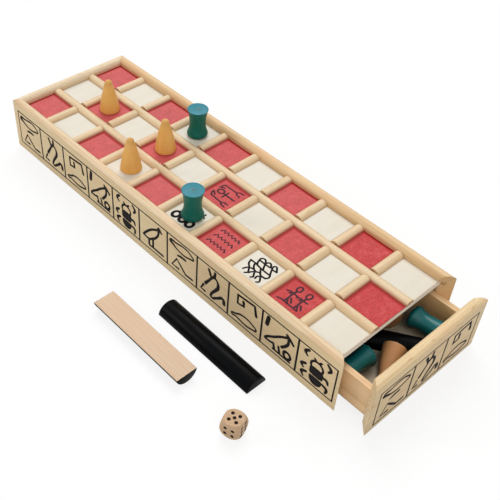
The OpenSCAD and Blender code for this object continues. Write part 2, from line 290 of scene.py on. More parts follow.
def math(tree, operation, a, b=0.0, c=0.0, clamp=False):
    node = add_node(tree, "ShaderNodeMath", operation=operation, use_clamp=clamp)
    return feed_all(tree, node, enumerate((a, b, c)))[0]


def times(tree, a, b):
    return math(tree, "MULTIPLY", a, b)


def vector_math(tree, operation, a, b=(0.0, 0.0, 0.0)):
    node = add_node(tree, "ShaderNodeVectorMath", operation=operation)
    outputs = feed_all(tree, node, enumerate((a, b)))
    return outputs["Value" if operation in ("LENGTH", "DOT_PRODUCT") else "Vector"]


def noise(tree, place, scale, detail=2.0, roughness=0.5, output="Fac"):
    """Noise with one scale for all directions, or with one for each."""
    if isinstance(scale, tuple):
        place, scale = vector_math(tree, "MULTIPLY", place, scale), 1.0
    return feed_all(tree, add_node(tree, "ShaderNodeTexNoise"),
                    (("Vector", place), ("Scale", scale), ("Detail", detail),
                     ("Roughness", roughness)))[output]


def spread(tree, value, low, high, to_low=0.0, to_high=1.0):
    """Take a value's range from low to high to another range, held at its ends."""
    node = add_node(tree, "ShaderNodeMapRange", clamp=True)
    return feed_all(tree, node, enumerate((value, low, high, to_low, to_high)))["Result"]


def blend(tree, share, a, b, how="MIX"):
    node = add_node(tree, "ShaderNodeMix", data_type="RGBA", blend_type=how)
    return feed_all(tree, node, ((0, share), (6, a), (7, b)))[2]


def wash(tree, colour, over, share, mask, low=None, high=None):
    """Lay another colour over a colour: share of it where the mask is 1, or reaches high."""
    if low is None:
        return blend(tree, times(tree, mask, share), colour, over)
    return blend(tree, spread(tree, mask, low, high, 0.0, share), colour, over)


def tinted(colour, *shares):
    """A colour times one number, or times a number for each channel, held at 1."""
    return tuple(min(1.0, c * s) for c, s in zip(colour, shares * (3 // len(shares))))


def split(tree, vector):
    return feed_all(tree, add_node(tree, "ShaderNodeSeparateXYZ"), ((0, vector),))


def join(tree, x, y, z):
    return feed_all(tree, add_node(tree, "ShaderNodeCombineXYZ"), enumerate((x, y, z)))[0]


def coordinates(tree):
    """The place on the object, from one node in each tree."""
    node = tree.nodes.get("Texture Coordinate") or tree.nodes.new("ShaderNodeTexCoord")
    return node.outputs["Object"]


def outward(tree, axis):
    """How far a surface looks along an axis, either way: 1 where it faces it."""
    normal = add_node(tree, "ShaderNodeNewGeometry").outputs["Normal"]
    return math(tree, "ABSOLUTE", split(tree, normal)[axis])


def rest_of(tree, value):
    return math(tree, "SUBTRACT", 1.0, value, clamp=True)


def open_group(name, inputs, outputs):
    """Empty shader group with named sockets, and its two end nodes."""
    tree = bpy.data.node_groups.new(name, "ShaderNodeTree")
    for label, kind, default in inputs:
        socket = tree.interface.new_socket(label, in_out="INPUT", socket_type="NodeSocket" + kind)
        if default is not None:
            socket.default_value = default
    for label, kind in outputs:
        tree.interface.new_socket(label, in_out="OUTPUT", socket_type="NodeSocket" + kind)
    return tree, tree.nodes.new("NodeGroupInput").outputs, tree.nodes.new("NodeGroupOutput")


def place_group(tree, name, **values):
    node = add_node(tree, "ShaderNodeGroup", node_tree=bpy.data.node_groups[name])
    return feed_all(tree, node, ((label.replace("_", " "), value)
                                 for label, value in values.items()))


def build_timber_group():
    """Sawn wood: growth rings round a pith that lies along X, fibres and mottling."""
    tree, given, out = open_group(
        "sawn timber",
        [("Vector", "Vector", None), ("Pith", "Vector", (0.0, 0.03, -0.02)),
         ("Ring gap", "Float", 2.2 * MM), ("Wander", "Float", 3.0 * MM)],
        [("Rings", "Float"), ("Fibre", "Float"), ("Mottle", "Float")])
    place = given["Vector"]
    drift = noise(tree, place, (6.0, 28.0, 28.0), output="Color")
    drift = vector_math(tree, "SUBTRACT", drift, (0.5, 0.5, 0.5))
    scale = add_node(tree, "ShaderNodeVectorMath", operation="SCALE")
    drift = feed_all(tree, scale, ((0, drift), ("Scale", given["Wander"])))["Vector"]
    bent = vector_math(tree, "ADD", place, drift)
    across = vector_math(tree, "MULTIPLY", vector_math(tree, "SUBTRACT", bent, given["Pith"]),
                         (0.0, 1.0, 1.0))
    age = math(tree, "DIVIDE", vector_math(tree, "LENGTH", across), given["Ring gap"])
    ring = math(tree, "FRACT", age)
    late = times(tree, math(tree, "POWER", ring, 3.0), spread(tree, ring, 0.9, 1.0, 1.0, 0.0))
    year = noise(tree, join(tree, math(tree, "FLOOR", age), 0.0, 0.0), 3.7, 0.0)
    feed_all(tree, out, (
        ("Rings", times(tree, late, spread(tree, year, 0.3, 0.7, 0.35, 1.3))),
        ("Fibre", noise(tree, place, (45.0, 1500.0, 1500.0), 3.0, 0.6)),
        ("Mottle", noise(tree, place, (14.0, 60.0, 60.0), 3.0))))


def build_edge_group():
    """Broken edges: a rounded normal, and a mask that is 1 along the edges."""
    tree, given, out = open_group(
        "broken edges", [("Radius", "Float", 0.5 * MM)], [("Normal", "Vector"), ("Edge", "Float")])
    bevel = add_node(tree, "ShaderNodeBevel", samples=6)
    feed(tree, bevel, "Radius", given["Radius"])
    flat = add_node(tree, "ShaderNodeNewGeometry")
    facing = vector_math(tree, "DOT_PRODUCT", bevel.outputs[0], flat.outputs["Normal"])
    feed(tree, out, "Normal", bevel.outputs[0])
    feed(tree, out, "Edge", spread(tree, facing, 0.985, 0.90))


def build_nearness_group(name, mask, reach, free, close):
    """A mask for painted shade, that goes from 0 to 1 as the open share of a surface's view falls
    to close.
    """
    tree, given, out = open_group(name, [("Reach", "Float", reach)], [(mask, "Float")])
    near = add_node(tree, "ShaderNodeAmbientOcclusion", samples=8)
    feed(tree, near, "Distance", given["Reach"])
    feed(tree, out, mask, spread(tree, near.outputs["AO"], free, close))


def build_square_group():
    """Place on the board: distance into a square from its nearest edge, and its number."""
    tree, given, out = open_group(
        "board squares", [("Vector", "Vector", None)],
        [("Inset", "Float"), ("Number", "Vector"), ("Inside", "Vector")])
    away = vector_math(tree, "SUBTRACT", given["Vector"], SQUARE_FIRST)
    scaled = vector_math(tree, "DIVIDE", away, (SQUARE_STEP, SQUARE_STEP, 1.0))
    inside = vector_math(tree, "MULTIPLY", vector_math(tree, "FRACTION", scaled),
                         (SQUARE_STEP, SQUARE_STEP, 0.0))
    number = vector_math(tree, "FLOOR", scaled)
    x, y, _ = split(tree, inside)
    last = math(tree, "GREATER_THAN", split(tree, number)[0], LAST_COLUMN - 0.5)
    long = math(tree, "ADD", SQUARE_SIDE, times(tree, last, LAST_SQUARE_EXTRA))
    ends = [math(tree, "MINIMUM", v, math(tree, "SUBTRACT", side, v))
            for v, side in ((x, long), (y, SQUARE_SIDE))]
    feed_all(tree, out, (("Inset", math(tree, "MINIMUM", *ends)), ("Number", number),
                         ("Inside", inside)))


def build_groups():
    build_timber_group()
    build_edge_group()
    # Masks for painted shade: in inner corners, and deep in the drawer and the case
    build_nearness_group("painted corner shade", "CornerShade", 3.0 * MM, 0.9, 0.25)
    build_nearness_group("deep shade", "Shade", 45.0 * MM, 0.34, 0.08)
    build_square_group()


def open_material(name, roughness, **fixed):
    """Material with a Principled shader, its tree and the shader."""
    material = bpy.data.materials.new(name)
    material.use_nodes = True
    tree = material.node_tree
    shader = tree.nodes["Principled BSDF"]
    feed(tree, shader, "Roughness", roughness)
    for label, value in fixed.items():
        feed(tree, shader, label.replace("_", " "), value)
    return material, tree, shader


def close_surface(tree, shader, colour, roughness, height, depth, strength, normal=None):
    """Give a shader its colour, its roughness and a fine relief over its normal."""
    bump = add_node(tree, "ShaderNodeBump")
    feed_all(tree, bump, (("Height", height), ("Distance", depth), ("Strength", strength)))
    if normal is not None:
        feed(tree, bump, "Normal", normal)
    feed_all(tree, shader, (("Base Color", colour), ("Roughness", roughness),
                            ("Normal", bump.outputs[0])))


def object_place(tree, turn=ALONG, shift=(0.0, 0.0, 0.0)):
    """The place on the object, turned so that the grain lies along X."""
    return feed_all(tree, add_node(tree, "ShaderNodeMapping"),
                    (("Vector", coordinates(tree)), ("Rotation", turn), ("Location", shift)))[0]


def own_place(tree):
    """A loose piece's own coordinates, the same shifted by its number, and that number."""
    own = add_node(tree, "ShaderNodeAttribute", attribute_name="own").outputs["Vector"]
    batch = add_node(tree, "ShaderNodeAttribute", attribute_name="batch").outputs["Fac"]
    shift = join(tree, *(times(tree, batch, step) for step in (0.37, 0.11, 0.23)))
    return own, vector_math(tree, "ADD", own, shift), batch


def paint_depth_shade(tree, colour, share=0.9):
    """Darken a colour with painted shade in the depth of the drawer and the case."""
    return wash(tree, colour, DEEP_SHADE, share, place_group(tree, "deep shade")["Shade"])


def lot_of(tree, number):
    """A random colour and value for each whole number of squares."""
    return feed_all(tree, add_node(tree, "ShaderNodeTexWhiteNoise", noise_dimensions="3D"),
                    (("Vector", number),))


def pine(name, light, dark, turn=ALONG, shift=(0.0, 0.0, 0.0), pith=(0.0, 0.05, -0.03),
         ring_gap=2.4 * MM, pieces=False, warmth=0.0, flecks=0.25, stain=None, shade=0.0,
         face=None):
    """Lightly waxed softwood with broken edges.

    pieces gives each short strip its own grain. stain is the red that the foot of a strip takes
    beside a red square, partly stain and partly painted red bounce light, and the foot of every
    strip is darkened with painted shade. shade is how much painted shade the wood takes deep in
    the drawer. face holds an axis and a colour that multiplies the faces that look along it:
    painted light where it is over 1, painted shade where it is under 1.
    """
    material, tree, shader = open_material(name, 0.48, Specular_IOR_Level=0.40)
    place = object_place(tree, turn, shift)
    if pieces:
        from_strip = vector_math(tree, "SUBTRACT", coordinates(tree), (0.018, -0.004, 0.0))
        lot = lot_of(tree, place_group(tree, "board squares", Vector=from_strip)["Number"])
        place = vector_math(tree, "ADD", place, lot["Color"])
    timber = place_group(tree, "sawn timber", Vector=place, Pith=pith, Ring_gap=ring_gap)
    edges = place_group(tree, "broken edges", Radius=0.6 * MM)
    corner = place_group(tree, "painted corner shade", Reach=3.0 * MM)["CornerShade"]
    pale, rosy = tinted(light, 1.12), tinted(light, 1.02, 0.84, 0.80)
    colour = wash(tree, light, dark, 0.62, timber["Rings"])
    colour = wash(tree, colour, dark, 0.30, timber["Fibre"], 0.38, 0.72)
    colour = wash(tree, colour, pale, 0.55, timber["Mottle"], 0.45, 0.8)
    if pieces:
        colour = wash(tree, colour, dark, 0.35, lot["Value"], 0.55, 1.0)
    dash = noise(tree, place, (95.0, 620.0, 620.0))
    colour = wash(tree, colour, dark, flecks, dash, 0.62, 0.74)
    knot = noise(tree, place, (42.0, 110.0, 110.0))
    colour = wash(tree, colour, dark, flecks * 1.6, knot, 0.68, 0.80)
    flush = noise(tree, place, 22.0, 1.0)
    colour = wash(tree, colour, rosy, 0.35 + warmth, flush, 0.48, 0.75)
    colour = wash(tree, colour, pale, 0.35, edges["Edge"])
    # Painted shade: darker wood in inner corners, where parts meet
    colour = wash(tree, colour, dark, 0.5, corner)
    if stain is not None:
        plain, low, half = coordinates(tree), SQUARE_FIRST.z, (SQUARE_STEP - SQUARE_SIDE) / 2
        foot = spread(tree, split(tree, plain)[2], low + 2.4 * MM, low + 0.3 * MM)
        nearest = vector_math(tree, "ADD", plain, (half, half, 0.0))
        column, row, _ = split(tree, place_group(tree, "board squares", Vector=nearest)["Number"])
        odd = math(tree, "MODULO", math(tree, "ADD", column, row), 2.0)
        beside_red = times(tree, foot, rest_of(tree, odd))
        # Painted shade at the foot of every strip; beside a red square the foot takes the red as
        # well, partly stain and partly painted red bounce light
        colour = wash(tree, colour, dark, 0.45, foot)
        colour = wash(tree, colour, stain, 0.85, beside_red)
    if shade:
        # Painted shade deep in the drawer
        colour = paint_depth_shade(tree, colour, shade)
    if face is not None:
        # Painted light and shade: the faces that look along the axis are multiplied by a colour,
        # lighter over 1 and darker under 1, for how the light falls on them
        axis, light_and_shade_tint = face
        colour = blend(tree, spread(tree, outward(tree, axis), 0.90, 0.99), colour, light_and_shade_tint,
                       "MULTIPLY")
    relief = math(tree, "SUBTRACT", times(tree, timber["Fibre"], 0.4), timber["Rings"])
    close_surface(tree, shader, colour, spread(tree, timber["Fibre"], 0.2, 0.8, 0.42, 0.60),
                  relief, 0.06 * MM, 0.5, edges["Normal"])
    return material


def plywood(name, light, dark, core_low, core_high, front, lean, strips):
    """Birch ply: a calm face veneer, and pale cut edges with a darker middle ply. The cut edges'
    paleness is partly their own wood and partly painted light.

    The middle ply lies between two heights, and a brown arris at front, the x of the front
    edge. lean tips the light on the cut edge upward. strips draws a brown line at their feet,
    a painted shadow of the strips. The ply also takes painted shade in inner corners and in the
    depth of the case and the drawer.
    """
    material, tree, shader = open_material(name, 0.55, Specular_IOR_Level=0.3)
    place = object_place(tree, ACROSS)
    timber = place_group(tree, "sawn timber", Vector=place, Pith=PLY_PITH, Ring_gap=5.0 * MM,
                         Wander=PLY_WANDER)
    edges = place_group(tree, "broken edges", Radius=0.3 * MM)
    corner = place_group(tree, "painted corner shade", Reach=2.5 * MM)["CornerShade"]
    colour = wash(tree, light, dark, 0.22, timber["Rings"])
    colour = wash(tree, colour, dark, 0.24, timber["Fibre"], 0.45, 0.75)
    fleck = noise(tree, place, (180.0, 1100.0, 1100.0), 1.0)
    colour = wash(tree, colour, dark, 0.14, fleck, 0.63, 0.74)
    colour = wash(tree, colour, tinted(light, 1.0, 0.95, 0.86), 0.22, timber["Mottle"], 0.4, 0.75)
    side = rest_of(tree, outward(tree, 2))
    plain = coordinates(tree)
    along, _, height = split(tree, plain)
    core = times(tree, spread(tree, height, core_low - 0.1 * MM, core_low + 0.1 * MM),
                 spread(tree, height, core_high + 0.1 * MM, core_high - 0.1 * MM))
    # Painted shadow of the strips: a brown line on the panel along their feet
    if strips:
        inset = place_group(tree, "board squares", Vector=plain)["Inset"]
        colour = wash(tree, colour, (0.36, 0.21, 0.10), 0.65, inset, 1.1 * MM, 0.3 * MM)
    colour = wash(tree, colour, tinted(light, 0.95, 0.90, 0.83), 0.6, along, front - 45 * MM, front)
    # Painted shade deep in the case and the drawer
    colour = paint_depth_shade(tree, colour)
    # Cut edges: pale ply, made paler still as painted light on the edge
    colour = blend(tree, side, colour, (1.0, 0.905, 0.77))
    colour = wash(tree, colour, dark, 0.14, times(tree, core, side))
    arris = times(tree, spread(tree, along, front - 0.5 * MM, front - 0.2 * MM),
                  rest_of(tree, side))
    colour = wash(tree, colour, (0.30, 0.15, 0.07), 0.6, arris)
    # Painted shade in inner corners
    colour = wash(tree, colour, dark, 0.6, corner)
    lifted = vector_math(tree, "ADD", edges["Normal"], join(tree, 0.0, 0.0,
                                                            times(tree, side, lean)))
    close_surface(tree, shader, colour, spread(tree, timber["Fibre"], 0.2, 0.8, 0.5, 0.66),
                  timber["Fibre"], 0.03 * MM, 0.4, vector_math(tree, "NORMALIZE", lifted))
    return material


def red_stain(light, deep, edge):
    """Red stain on the veneer: mottled, deeper towards the drawer, darker along two edges partly
    from stain pooled against the strips and partly as painted shadow of the strips, and with
    painted shade round the feet of pieces.
    """
    material, tree, shader = open_material("red stain on ply", 0.5, Specular_IOR_Level=0.2)
    place = object_place(tree, ACROSS)
    board = place_group(tree, "board squares", Vector=coordinates(tree))
    lot = lot_of(tree, board["Number"])
    moved = vector_math(tree, "ADD", place, lot["Color"])
    timber = place_group(tree, "sawn timber", Vector=moved, Pith=PLY_PITH, Ring_gap=4.0 * MM,
                         Wander=PLY_WANDER)
    column = math(tree, "MULTIPLY_ADD", lot["Value"], 4.5, split(tree, board["Number"])[0])
    veneer, soaked = tinted(light, 1.25, 1.40, 1.40), tinted(light, 0.62)
    cloud = noise(tree, moved, 150.0, 4.0, 0.6)
    fleck = noise(tree, moved, (520.0, 1500.0, 1500.0), 3.0, 0.65)
    colour = wash(tree, light, deep, 0.9, column, 4.5, 11.0)
    for patch, over, share, low, high in ((cloud, veneer, 0.45, 0.50, 0.74),
                                          (cloud, soaked, 0.45, 0.48, 0.28),
                                          (fleck, veneer, 0.50, 0.48, 0.68),
                                          (fleck, soaked, 0.55, 0.50, 0.30)):
        colour = wash(tree, colour, over, share, patch, low, high)
    colour = wash(tree, colour, deep, 0.12, timber["Rings"])
    corner = place_group(tree, "painted corner shade", Reach=3.5 * MM)["CornerShade"]
    # Along the two far edges: partly stain pooled against the strips, partly painted shadow cast by
    # them; weaker along the other two edges
    across, along, _ = split(tree, board["Inside"])
    back = math(tree, "MINIMUM", across, math(tree, "SUBTRACT", SQUARE_SIDE, along))
    ragged = math(tree, "MULTIPLY_ADD", cloud, -0.9 * MM, 0.45 * MM)
    pool_and_shadow_mask = math(tree, "MAXIMUM",
                spread(tree, math(tree, "ADD", back, ragged), 2.7 * MM, 1.6 * MM, 0.0, 0.95),
                spread(tree, board["Inset"], 1.0 * MM, 0.5 * MM, 0.0, 0.35))
    # The inner corner mask adds painted shade round the feet of pieces and along the strips
    colour = blend(tree, math(tree, "MAXIMUM", pool_and_shadow_mask, times(tree, corner, 0.90)), colour, edge)
    close_surface(tree, shader, colour, spread(tree, timber["Fibre"], 0.2, 0.8, 0.42, 0.62),
                  fleck, 0.03 * MM, 0.5)
    return material


def paint(name, body, thick, low, high, roughness, coat, drawer_shade_colour, first_stored):
    """Dipped paint over a turned piece: runs, faint lathe rings, specks and rubbed edges.

    The runs thicken from high down to low. Pieces from number first_stored on lie in the
    drawer and take a second colour and the deep shade, both painted shade and warm bounce light
    of the drawer.
    """
    material, tree, shader = open_material(name, roughness, Coat_Weight=coat, Coat_Roughness=0.2,
                                           Specular_IOR_Level=0.15)
    own, moved, number = own_place(tree)
    height = split(tree, own)[2]
    cloud = noise(tree, moved, 130.0, 3.0)
    colour = wash(tree, body, thick, 0.45, cloud, 0.35, 0.7)
    run = spread(tree, height, high, low)
    wavy = noise(tree, moved, (260.0, 260.0, 25.0))
    colour = blend(tree, times(tree, run, spread(tree, wavy, 0.3, 0.7, 0.3, 0.9)), colour, thick)
    kept = math(tree, "GREATER_THAN", number, first_stored - 0.5)
    # Painted shade: pieces in the drawer take a darker second colour and the deep shade
    colour = wash(tree, colour, drawer_shade_colour, 0.75, kept)
    colour = blend(tree, kept, colour, paint_depth_shade(tree, colour))
    feed(tree, shader, "Coat Weight", math(tree, "MULTIPLY_ADD", kept, 0.18, coat))
    speck = noise(tree, moved, 1500.0, 1.0)
    pale = tuple(min(1.0, c * 1.5 + 0.02) for c in body)
    colour = wash(tree, colour, pale, 0.4, speck, 0.66, 0.78)
    edges = place_group(tree, "broken edges", Radius=0.5 * MM)
    colour = wash(tree, colour, pale, 0.5, edges["Edge"])
    rough = spread(tree, cloud, 0.3, 0.7, roughness - 0.07, roughness + 0.12)
    ring = noise(tree, join(tree, 0.0, 0.0, height), 1400.0)
    relief = math(tree, "ADD", times(tree, ring, 0.55), times(tree, speck, 0.5))
    close_surface(tree, shader, colour, rough, relief, 0.06 * MM, 0.45, edges["Normal"])
    return material, tree, shader, colour, own, cloud


def gold_paint(body, thick, tip_height):
    """Gold paint that turns brown towards the tip of a cone."""
    material, tree, shader, colour, own, _ = paint(
        "gold paint on wood", body, thick, 0.5 * MM, 14.0 * MM, roughness=0.40, coat=0.05,
        # The drawer colour is painted shade on the cones in the drawer
        drawer_shade_colour=(0.45, 0.205, 0.110), first_stored=FIRST_STORED_CONE)
    feed(tree, shader, "Base Color",
         wash(tree, colour, (0.55, 0.30, 0.10), 0.45, split(tree, own)[2],
              tip_height - 8.0 * MM, tip_height))
    return material


def green_paint(body, thick, top, top_height):
    """Green paint with a painted bluish reflection of the bright room on a spool's flat top, and a
    bare lathe mark.
    """
    material, tree, shader, colour, own, cloud = paint(
        "green paint on wood", body, thick, 0.0, 9.0 * MM, roughness=0.34, coat=0.10,
        # The drawer colour is painted shade on the spools in the drawer
        drawer_shade_colour=(0.001, 0.150, 0.175), first_stored=FIRST_STORED_SPOOL)
    radius = vector_math(tree, "LENGTH", vector_math(tree, "MULTIPLY", own, (1.0, 1.0, 0.0)))
    # Painted reflection: the flat top is bluish and lighter, mottled by the paint's cloud, with a
    # grey lathe mark in the middle
    top_sheen_and_wear = wash(tree, top, body, 0.35, cloud, 0.35, 0.7)
    top_sheen_and_wear = wash(tree, top_sheen_and_wear, (0.16, 0.17, 0.16), 0.55, radius, 2.4 * MM, 0.6 * MM)
    flat = spread(tree, split(tree, own)[2], top_height - 0.45 * MM, top_height - 0.30 * MM)
    feed(tree, shader, "Base Color", blend(tree, flat, colour, top_sheen_and_wear))
    return material


def bare_wood(name, light, dark, ring_gap=1.6 * MM, pith=STICK_PITH, grain=1.0):
    """Unpainted beech; grain is how strongly its rings and fibres show."""
    material, tree, shader = open_material(name, 0.6, Specular_IOR_Level=0.3)
    _, moved, _ = own_place(tree)
    timber = place_group(tree, "sawn timber", Vector=moved, Pith=pith, Ring_gap=ring_gap,
                         Wander=STICK_WANDER)
    edges = place_group(tree, "broken edges", Radius=0.4 * MM)
    colour = wash(tree, light, dark, 0.28 * grain, timber["Rings"])
    colour = wash(tree, colour, dark, 0.34 * grain, timber["Fibre"], 0.42, 0.75)
    colour = wash(tree, colour, tinted(light, 1.0, 0.90, 0.86), 0.6, timber["Mottle"], 0.35, 0.7)
    colour = wash(tree, colour, tinted(light, 1.12), 0.3, edges["Edge"])
    close_surface(tree, shader, colour, spread(tree, timber["Fibre"], 0.2, 0.8, 0.52, 0.7),
                  timber["Fibre"], 0.04 * MM, 0.5, edges["Normal"])
    return material


def black_stain(black):
    """Dark stain on turned wood: open pores, paler edges that are partly rubbed and partly a
    painted sheen, and a soft sheen.
    """
    material, tree, shader = open_material("black stain on wood", 0.35, Specular_IOR_Level=0.05)
    _, moved, _ = own_place(tree)
    timber = place_group(tree, "sawn timber", Vector=moved, Pith=STICK_PITH, Ring_gap=1.8 * MM,
                         Wander=STICK_WANDER)
    edges = place_group(tree, "broken edges", Radius=0.5 * MM)
    colour = wash(tree, black, (0.0045, 0.0036, 0.0032), 0.5, timber["Fibre"], 0.45, 0.8)
    colour = wash(tree, colour, (0.0022, 0.0026, 0.0036), 0.4, timber["Mottle"], 0.45, 0.75)
    # Paler edges: partly rubbed stain, partly a painted sheen
    colour = wash(tree, colour, (0.035, 0.033, 0.034), 0.4, edges["Edge"])
    close_surface(tree, shader, colour, spread(tree, timber["Fibre"], 0.3, 0.7, 0.28, 0.5),
                  timber["Fibre"], 0.06 * MM, 0.5, edges["Normal"])
    return material


def ink(name, full, thin):
    """Printing ink that lies thinner where the wood's fibres stand up."""
    material, tree, shader = open_material(name, 0.6, Specular_IOR_Level=0.06)
    place = object_place(tree)
    cloud = noise(tree, place, 420.0, 3.0)
    grain = noise(tree, place, (120.0, 120.0, 1800.0))
    colour = wash(tree, full, thin, 0.65, cloud, 0.45, 0.75)
    colour = wash(tree, colour, thin, 0.5, grain, 0.55, 0.8)
    close_surface(tree, shader, colour, spread(tree, cloud, 0.3, 0.7, 0.5, 0.72), grain,
                  0.01 * MM, 0.3)
    return material


def dress(node, material):
    """Give a CAD node its finish."""
    for slot in frame["nodes"][node].material_slots:
        slot.material = material


# ---------------------------------------------------------------- loose pieces


def store(name, bm, materials):
    """Make a piece of a finished mesh and put it in the scene."""
    mesh = bpy.data.meshes.new(name)
    bm.to_mesh(mesh)
    bm.free()
    for material in materials:
        mesh.materials.append(material)
    piece = bpy.data.objects.new(name, mesh)
    bpy.context.scene.collection.objects.link(piece)
    return piece


def settle(bm, name, place, materials, number, node, sharp=radians(32.0)):
    """Store the piece's own coordinates, put it in its place and let it stand for its node."""
    bmesh.ops.remove_doubles(bm, verts=bm.verts, dist=1e-7)
    bmesh.ops.recalc_face_normals(bm, faces=bm.faces)
    own = bm.verts.layers.float_vector.new("own")
    batch = bm.verts.layers.float.new("batch")
    for vertex in bm.verts:
        vertex[own] = vertex.co
        vertex[batch] = float(number)
    for face in bm.faces:
        face.smooth = True
    for edge in bm.edges:
        edge.smooth = edge.calc_face_angle(0.0) < sharp
    bmesh.ops.transform(bm, matrix=place, verts=bm.verts)
    piece = store(name, bm, materials)
    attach(piece, frame["nodes"][node]["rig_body"])
    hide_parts(node)


def turned(profile):
    """Spin an outline of (radius, height) pairs into a closed turned piece."""
    bm = bmesh.new()
    line = [bm.verts.new((radius, 0.0, height)) for radius, height in profile]
    edges = [bm.edges.new(pair) for pair in zip(line, line[1:])]
    bmesh.ops.spin(bm, geom=line + edges, cent=(0.0, 0.0, 0.0), axis=(0.0, 0.0, 1.0),
                   dvec=(0.0, 0.0, 0.0), angle=2.0 * pi, steps=TURNED_STEPS,
                   use_merge=True, use_duplicate=False)
    return bm


def arc(centre, radius, start, end, count):
    """Points on a circle in an outline, from one angle in degrees to another."""
    return [(centre[0] + radius * cos(radians(start + (end - start) * i / count)),
             centre[1] + radius * sin(radians(start + (end - start) * i / count)))
            for i in range(count + 1)]


def cone_outline(sizes):
    """Outline of a cone: rounded foot, swelling side and ball tip."""
    foot, tip, high = sizes.piece_width / 2, sizes.cone_tip / 2, sizes.cone_height
    rise, run = high - tip - CONE_FOOT, foot - tip
    chord = sqrt(rise * rise + run * run)
    out = (rise / chord, run / chord)
    side = []
    for i in range(1, CONE_SIDE_STEPS):
        share = i / CONE_SIDE_STEPS
        bulge = sizes.cone_swell * (1.0 - (2.0 * share - 1.0) ** 2)
        side.append((foot - run * share + out[0] * bulge,
                     CONE_FOOT + rise * share + out[1] * bulge))
    ball = arc((0.0, high - tip), tip, 8.0, 90.0, 9)
    ball[-1] = (0.0, high)
    brim = 0.35 * MM
    return ([(0.0, 0.0), (foot - 2.5 * brim, 0.0)] + arc((foot - brim, brim), brim, -90.0, 0.0, 4)
            + [(foot, CONE_FOOT)] + side + ball)


def spool_outline(sizes):
    """Outline of a spool: belly, hollow waist, flaring neck and a top with a lathe mark."""
    foot, waist, high = sizes.piece_width / 2, sizes.spool_waist / 2, sizes.spool_height
    ball, belly, middle = sizes.belly_radius, sizes.belly_height, sizes.waist_height
    core = foot - ball
    drop, reach = middle - belly, waist - core
    low = (reach * reach + drop * drop - ball * ball) / (2.0 * (ball - reach))
    meet = degrees(atan2(drop, waist + low - core))
    rise, flare = high - middle, foot - waist
    lofty = (rise * rise + flare * flare) / (2.0 * flare)
    rim = 0.4 * MM
    top = degrees(asin((rise - rim) / lofty))
    points = [(0.0, 0.0)]
    points += arc((core, belly), ball, -degrees(asin(min(1.0, belly / ball))), meet, 12)
    points += arc((waist + low, middle), low, 180.0 + meet, 180.0, 10)[1:]
    points += arc((waist + lofty, middle), lofty, 180.0, 180.0 - top, 12)[1:]
    points += arc((foot - rim - 0.05 * MM, high - rim), rim, 15.0, 90.0, 4)
    mark = 0.9 * MM
    points += [(2.0 * mark, high), (mark, high - 0.03 * MM), (0.55 * mark, high - 0.12 * MM),
               (0.3 * mark, high - 0.35 * MM), (0.0, high - 0.45 * MM)]
    return points


def in_drawer(node):
    """Place of a stored piece on the drawer's bottom, turned its own way."""
    x, y, turn = STORED[node]
    return (Matrix.Translation((x * MM, y * MM, TRAY_FLOOR))
            @ Matrix.Rotation(radians(turn), 4, "Z"))


def lying_cone(sizes, node):
    """Place of a cone that lies on its side in the drawer."""
    high, tip = sizes.cone_height, sizes.cone_tip / 2
    lean = atan2(sizes.piece_width / 2 - tip, high - tip - CONE_FOOT)
    touch = sizes.piece_width / 2 * cos(lean) + CONE_FOOT * sin(lean) + sizes.cone_swell
    return (in_drawer(node) @ Matrix.Translation((0.0, 0.0, touch))
            @ Matrix.Rotation(pi / 2 + lean, 4, "Y"))


def lying_spool(sizes, node):
    """Place of a spool that lies on its side in the drawer."""
    back = -sizes.spool_height if node == PLACED_BY_ITS_TOP else 0.0
    return (in_drawer(node) @ Matrix.Translation((back, 0.0, sizes.piece_width / 2))
            @ Matrix.Rotation(pi / 2, 4, "Y"))


def lying_stick(node):
    """Place of a stick on the table, on its flat or on its round side."""
    low, high, _ = box_of(node)
    middle = (low.y + high.y) / 2
    if node == "stick_flat_up":
        return Matrix.Translation((low.x, middle, high.z)) @ Matrix.Rotation(pi, 4, "X")
    return Matrix.Translation((low.x, middle, low.z))


def stick_body(sizes):
    """Half-round stick on its flat side along +X: slot 0 is its stained back, 1 its flat."""
    long, wide, high = sizes.stick_length, sizes.stick_width, sizes.stick_height
    radius = (wide * wide / 4 + high * high) / (2.0 * high)
    half = degrees(asin(wide / 2 / radius))
    bm = bmesh.new()
    rim = [bm.verts.new((0.0, y, z)) for y, z in
           arc((0.0, high - radius), radius, 90.0 + half, 90.0 - half, 32)]
    face = bm.faces.new(rim)
    made = bmesh.ops.extrude_face_region(bm, geom=[face])
    moved = [item for item in made["geom"] if isinstance(item, bmesh.types.BMVert)]
    bmesh.ops.translate(bm, vec=(long, 0.0, 0.0), verts=moved)
    bmesh.ops.recalc_face_normals(bm, faces=bm.faces)
    crisp = [edge for edge in bm.edges if edge.calc_face_angle(0.0) > radians(30.0)]
    bmesh.ops.bevel(bm, geom=crisp, offset=0.35 * MM, offset_type="OFFSET", segments=3,
                    profile=0.5, affect="EDGES", clamp_overlap=True, material=-1)
    for face in bm.faces:
        face.material_index = 1 if face.normal.z < -0.9 else 0
    return bm


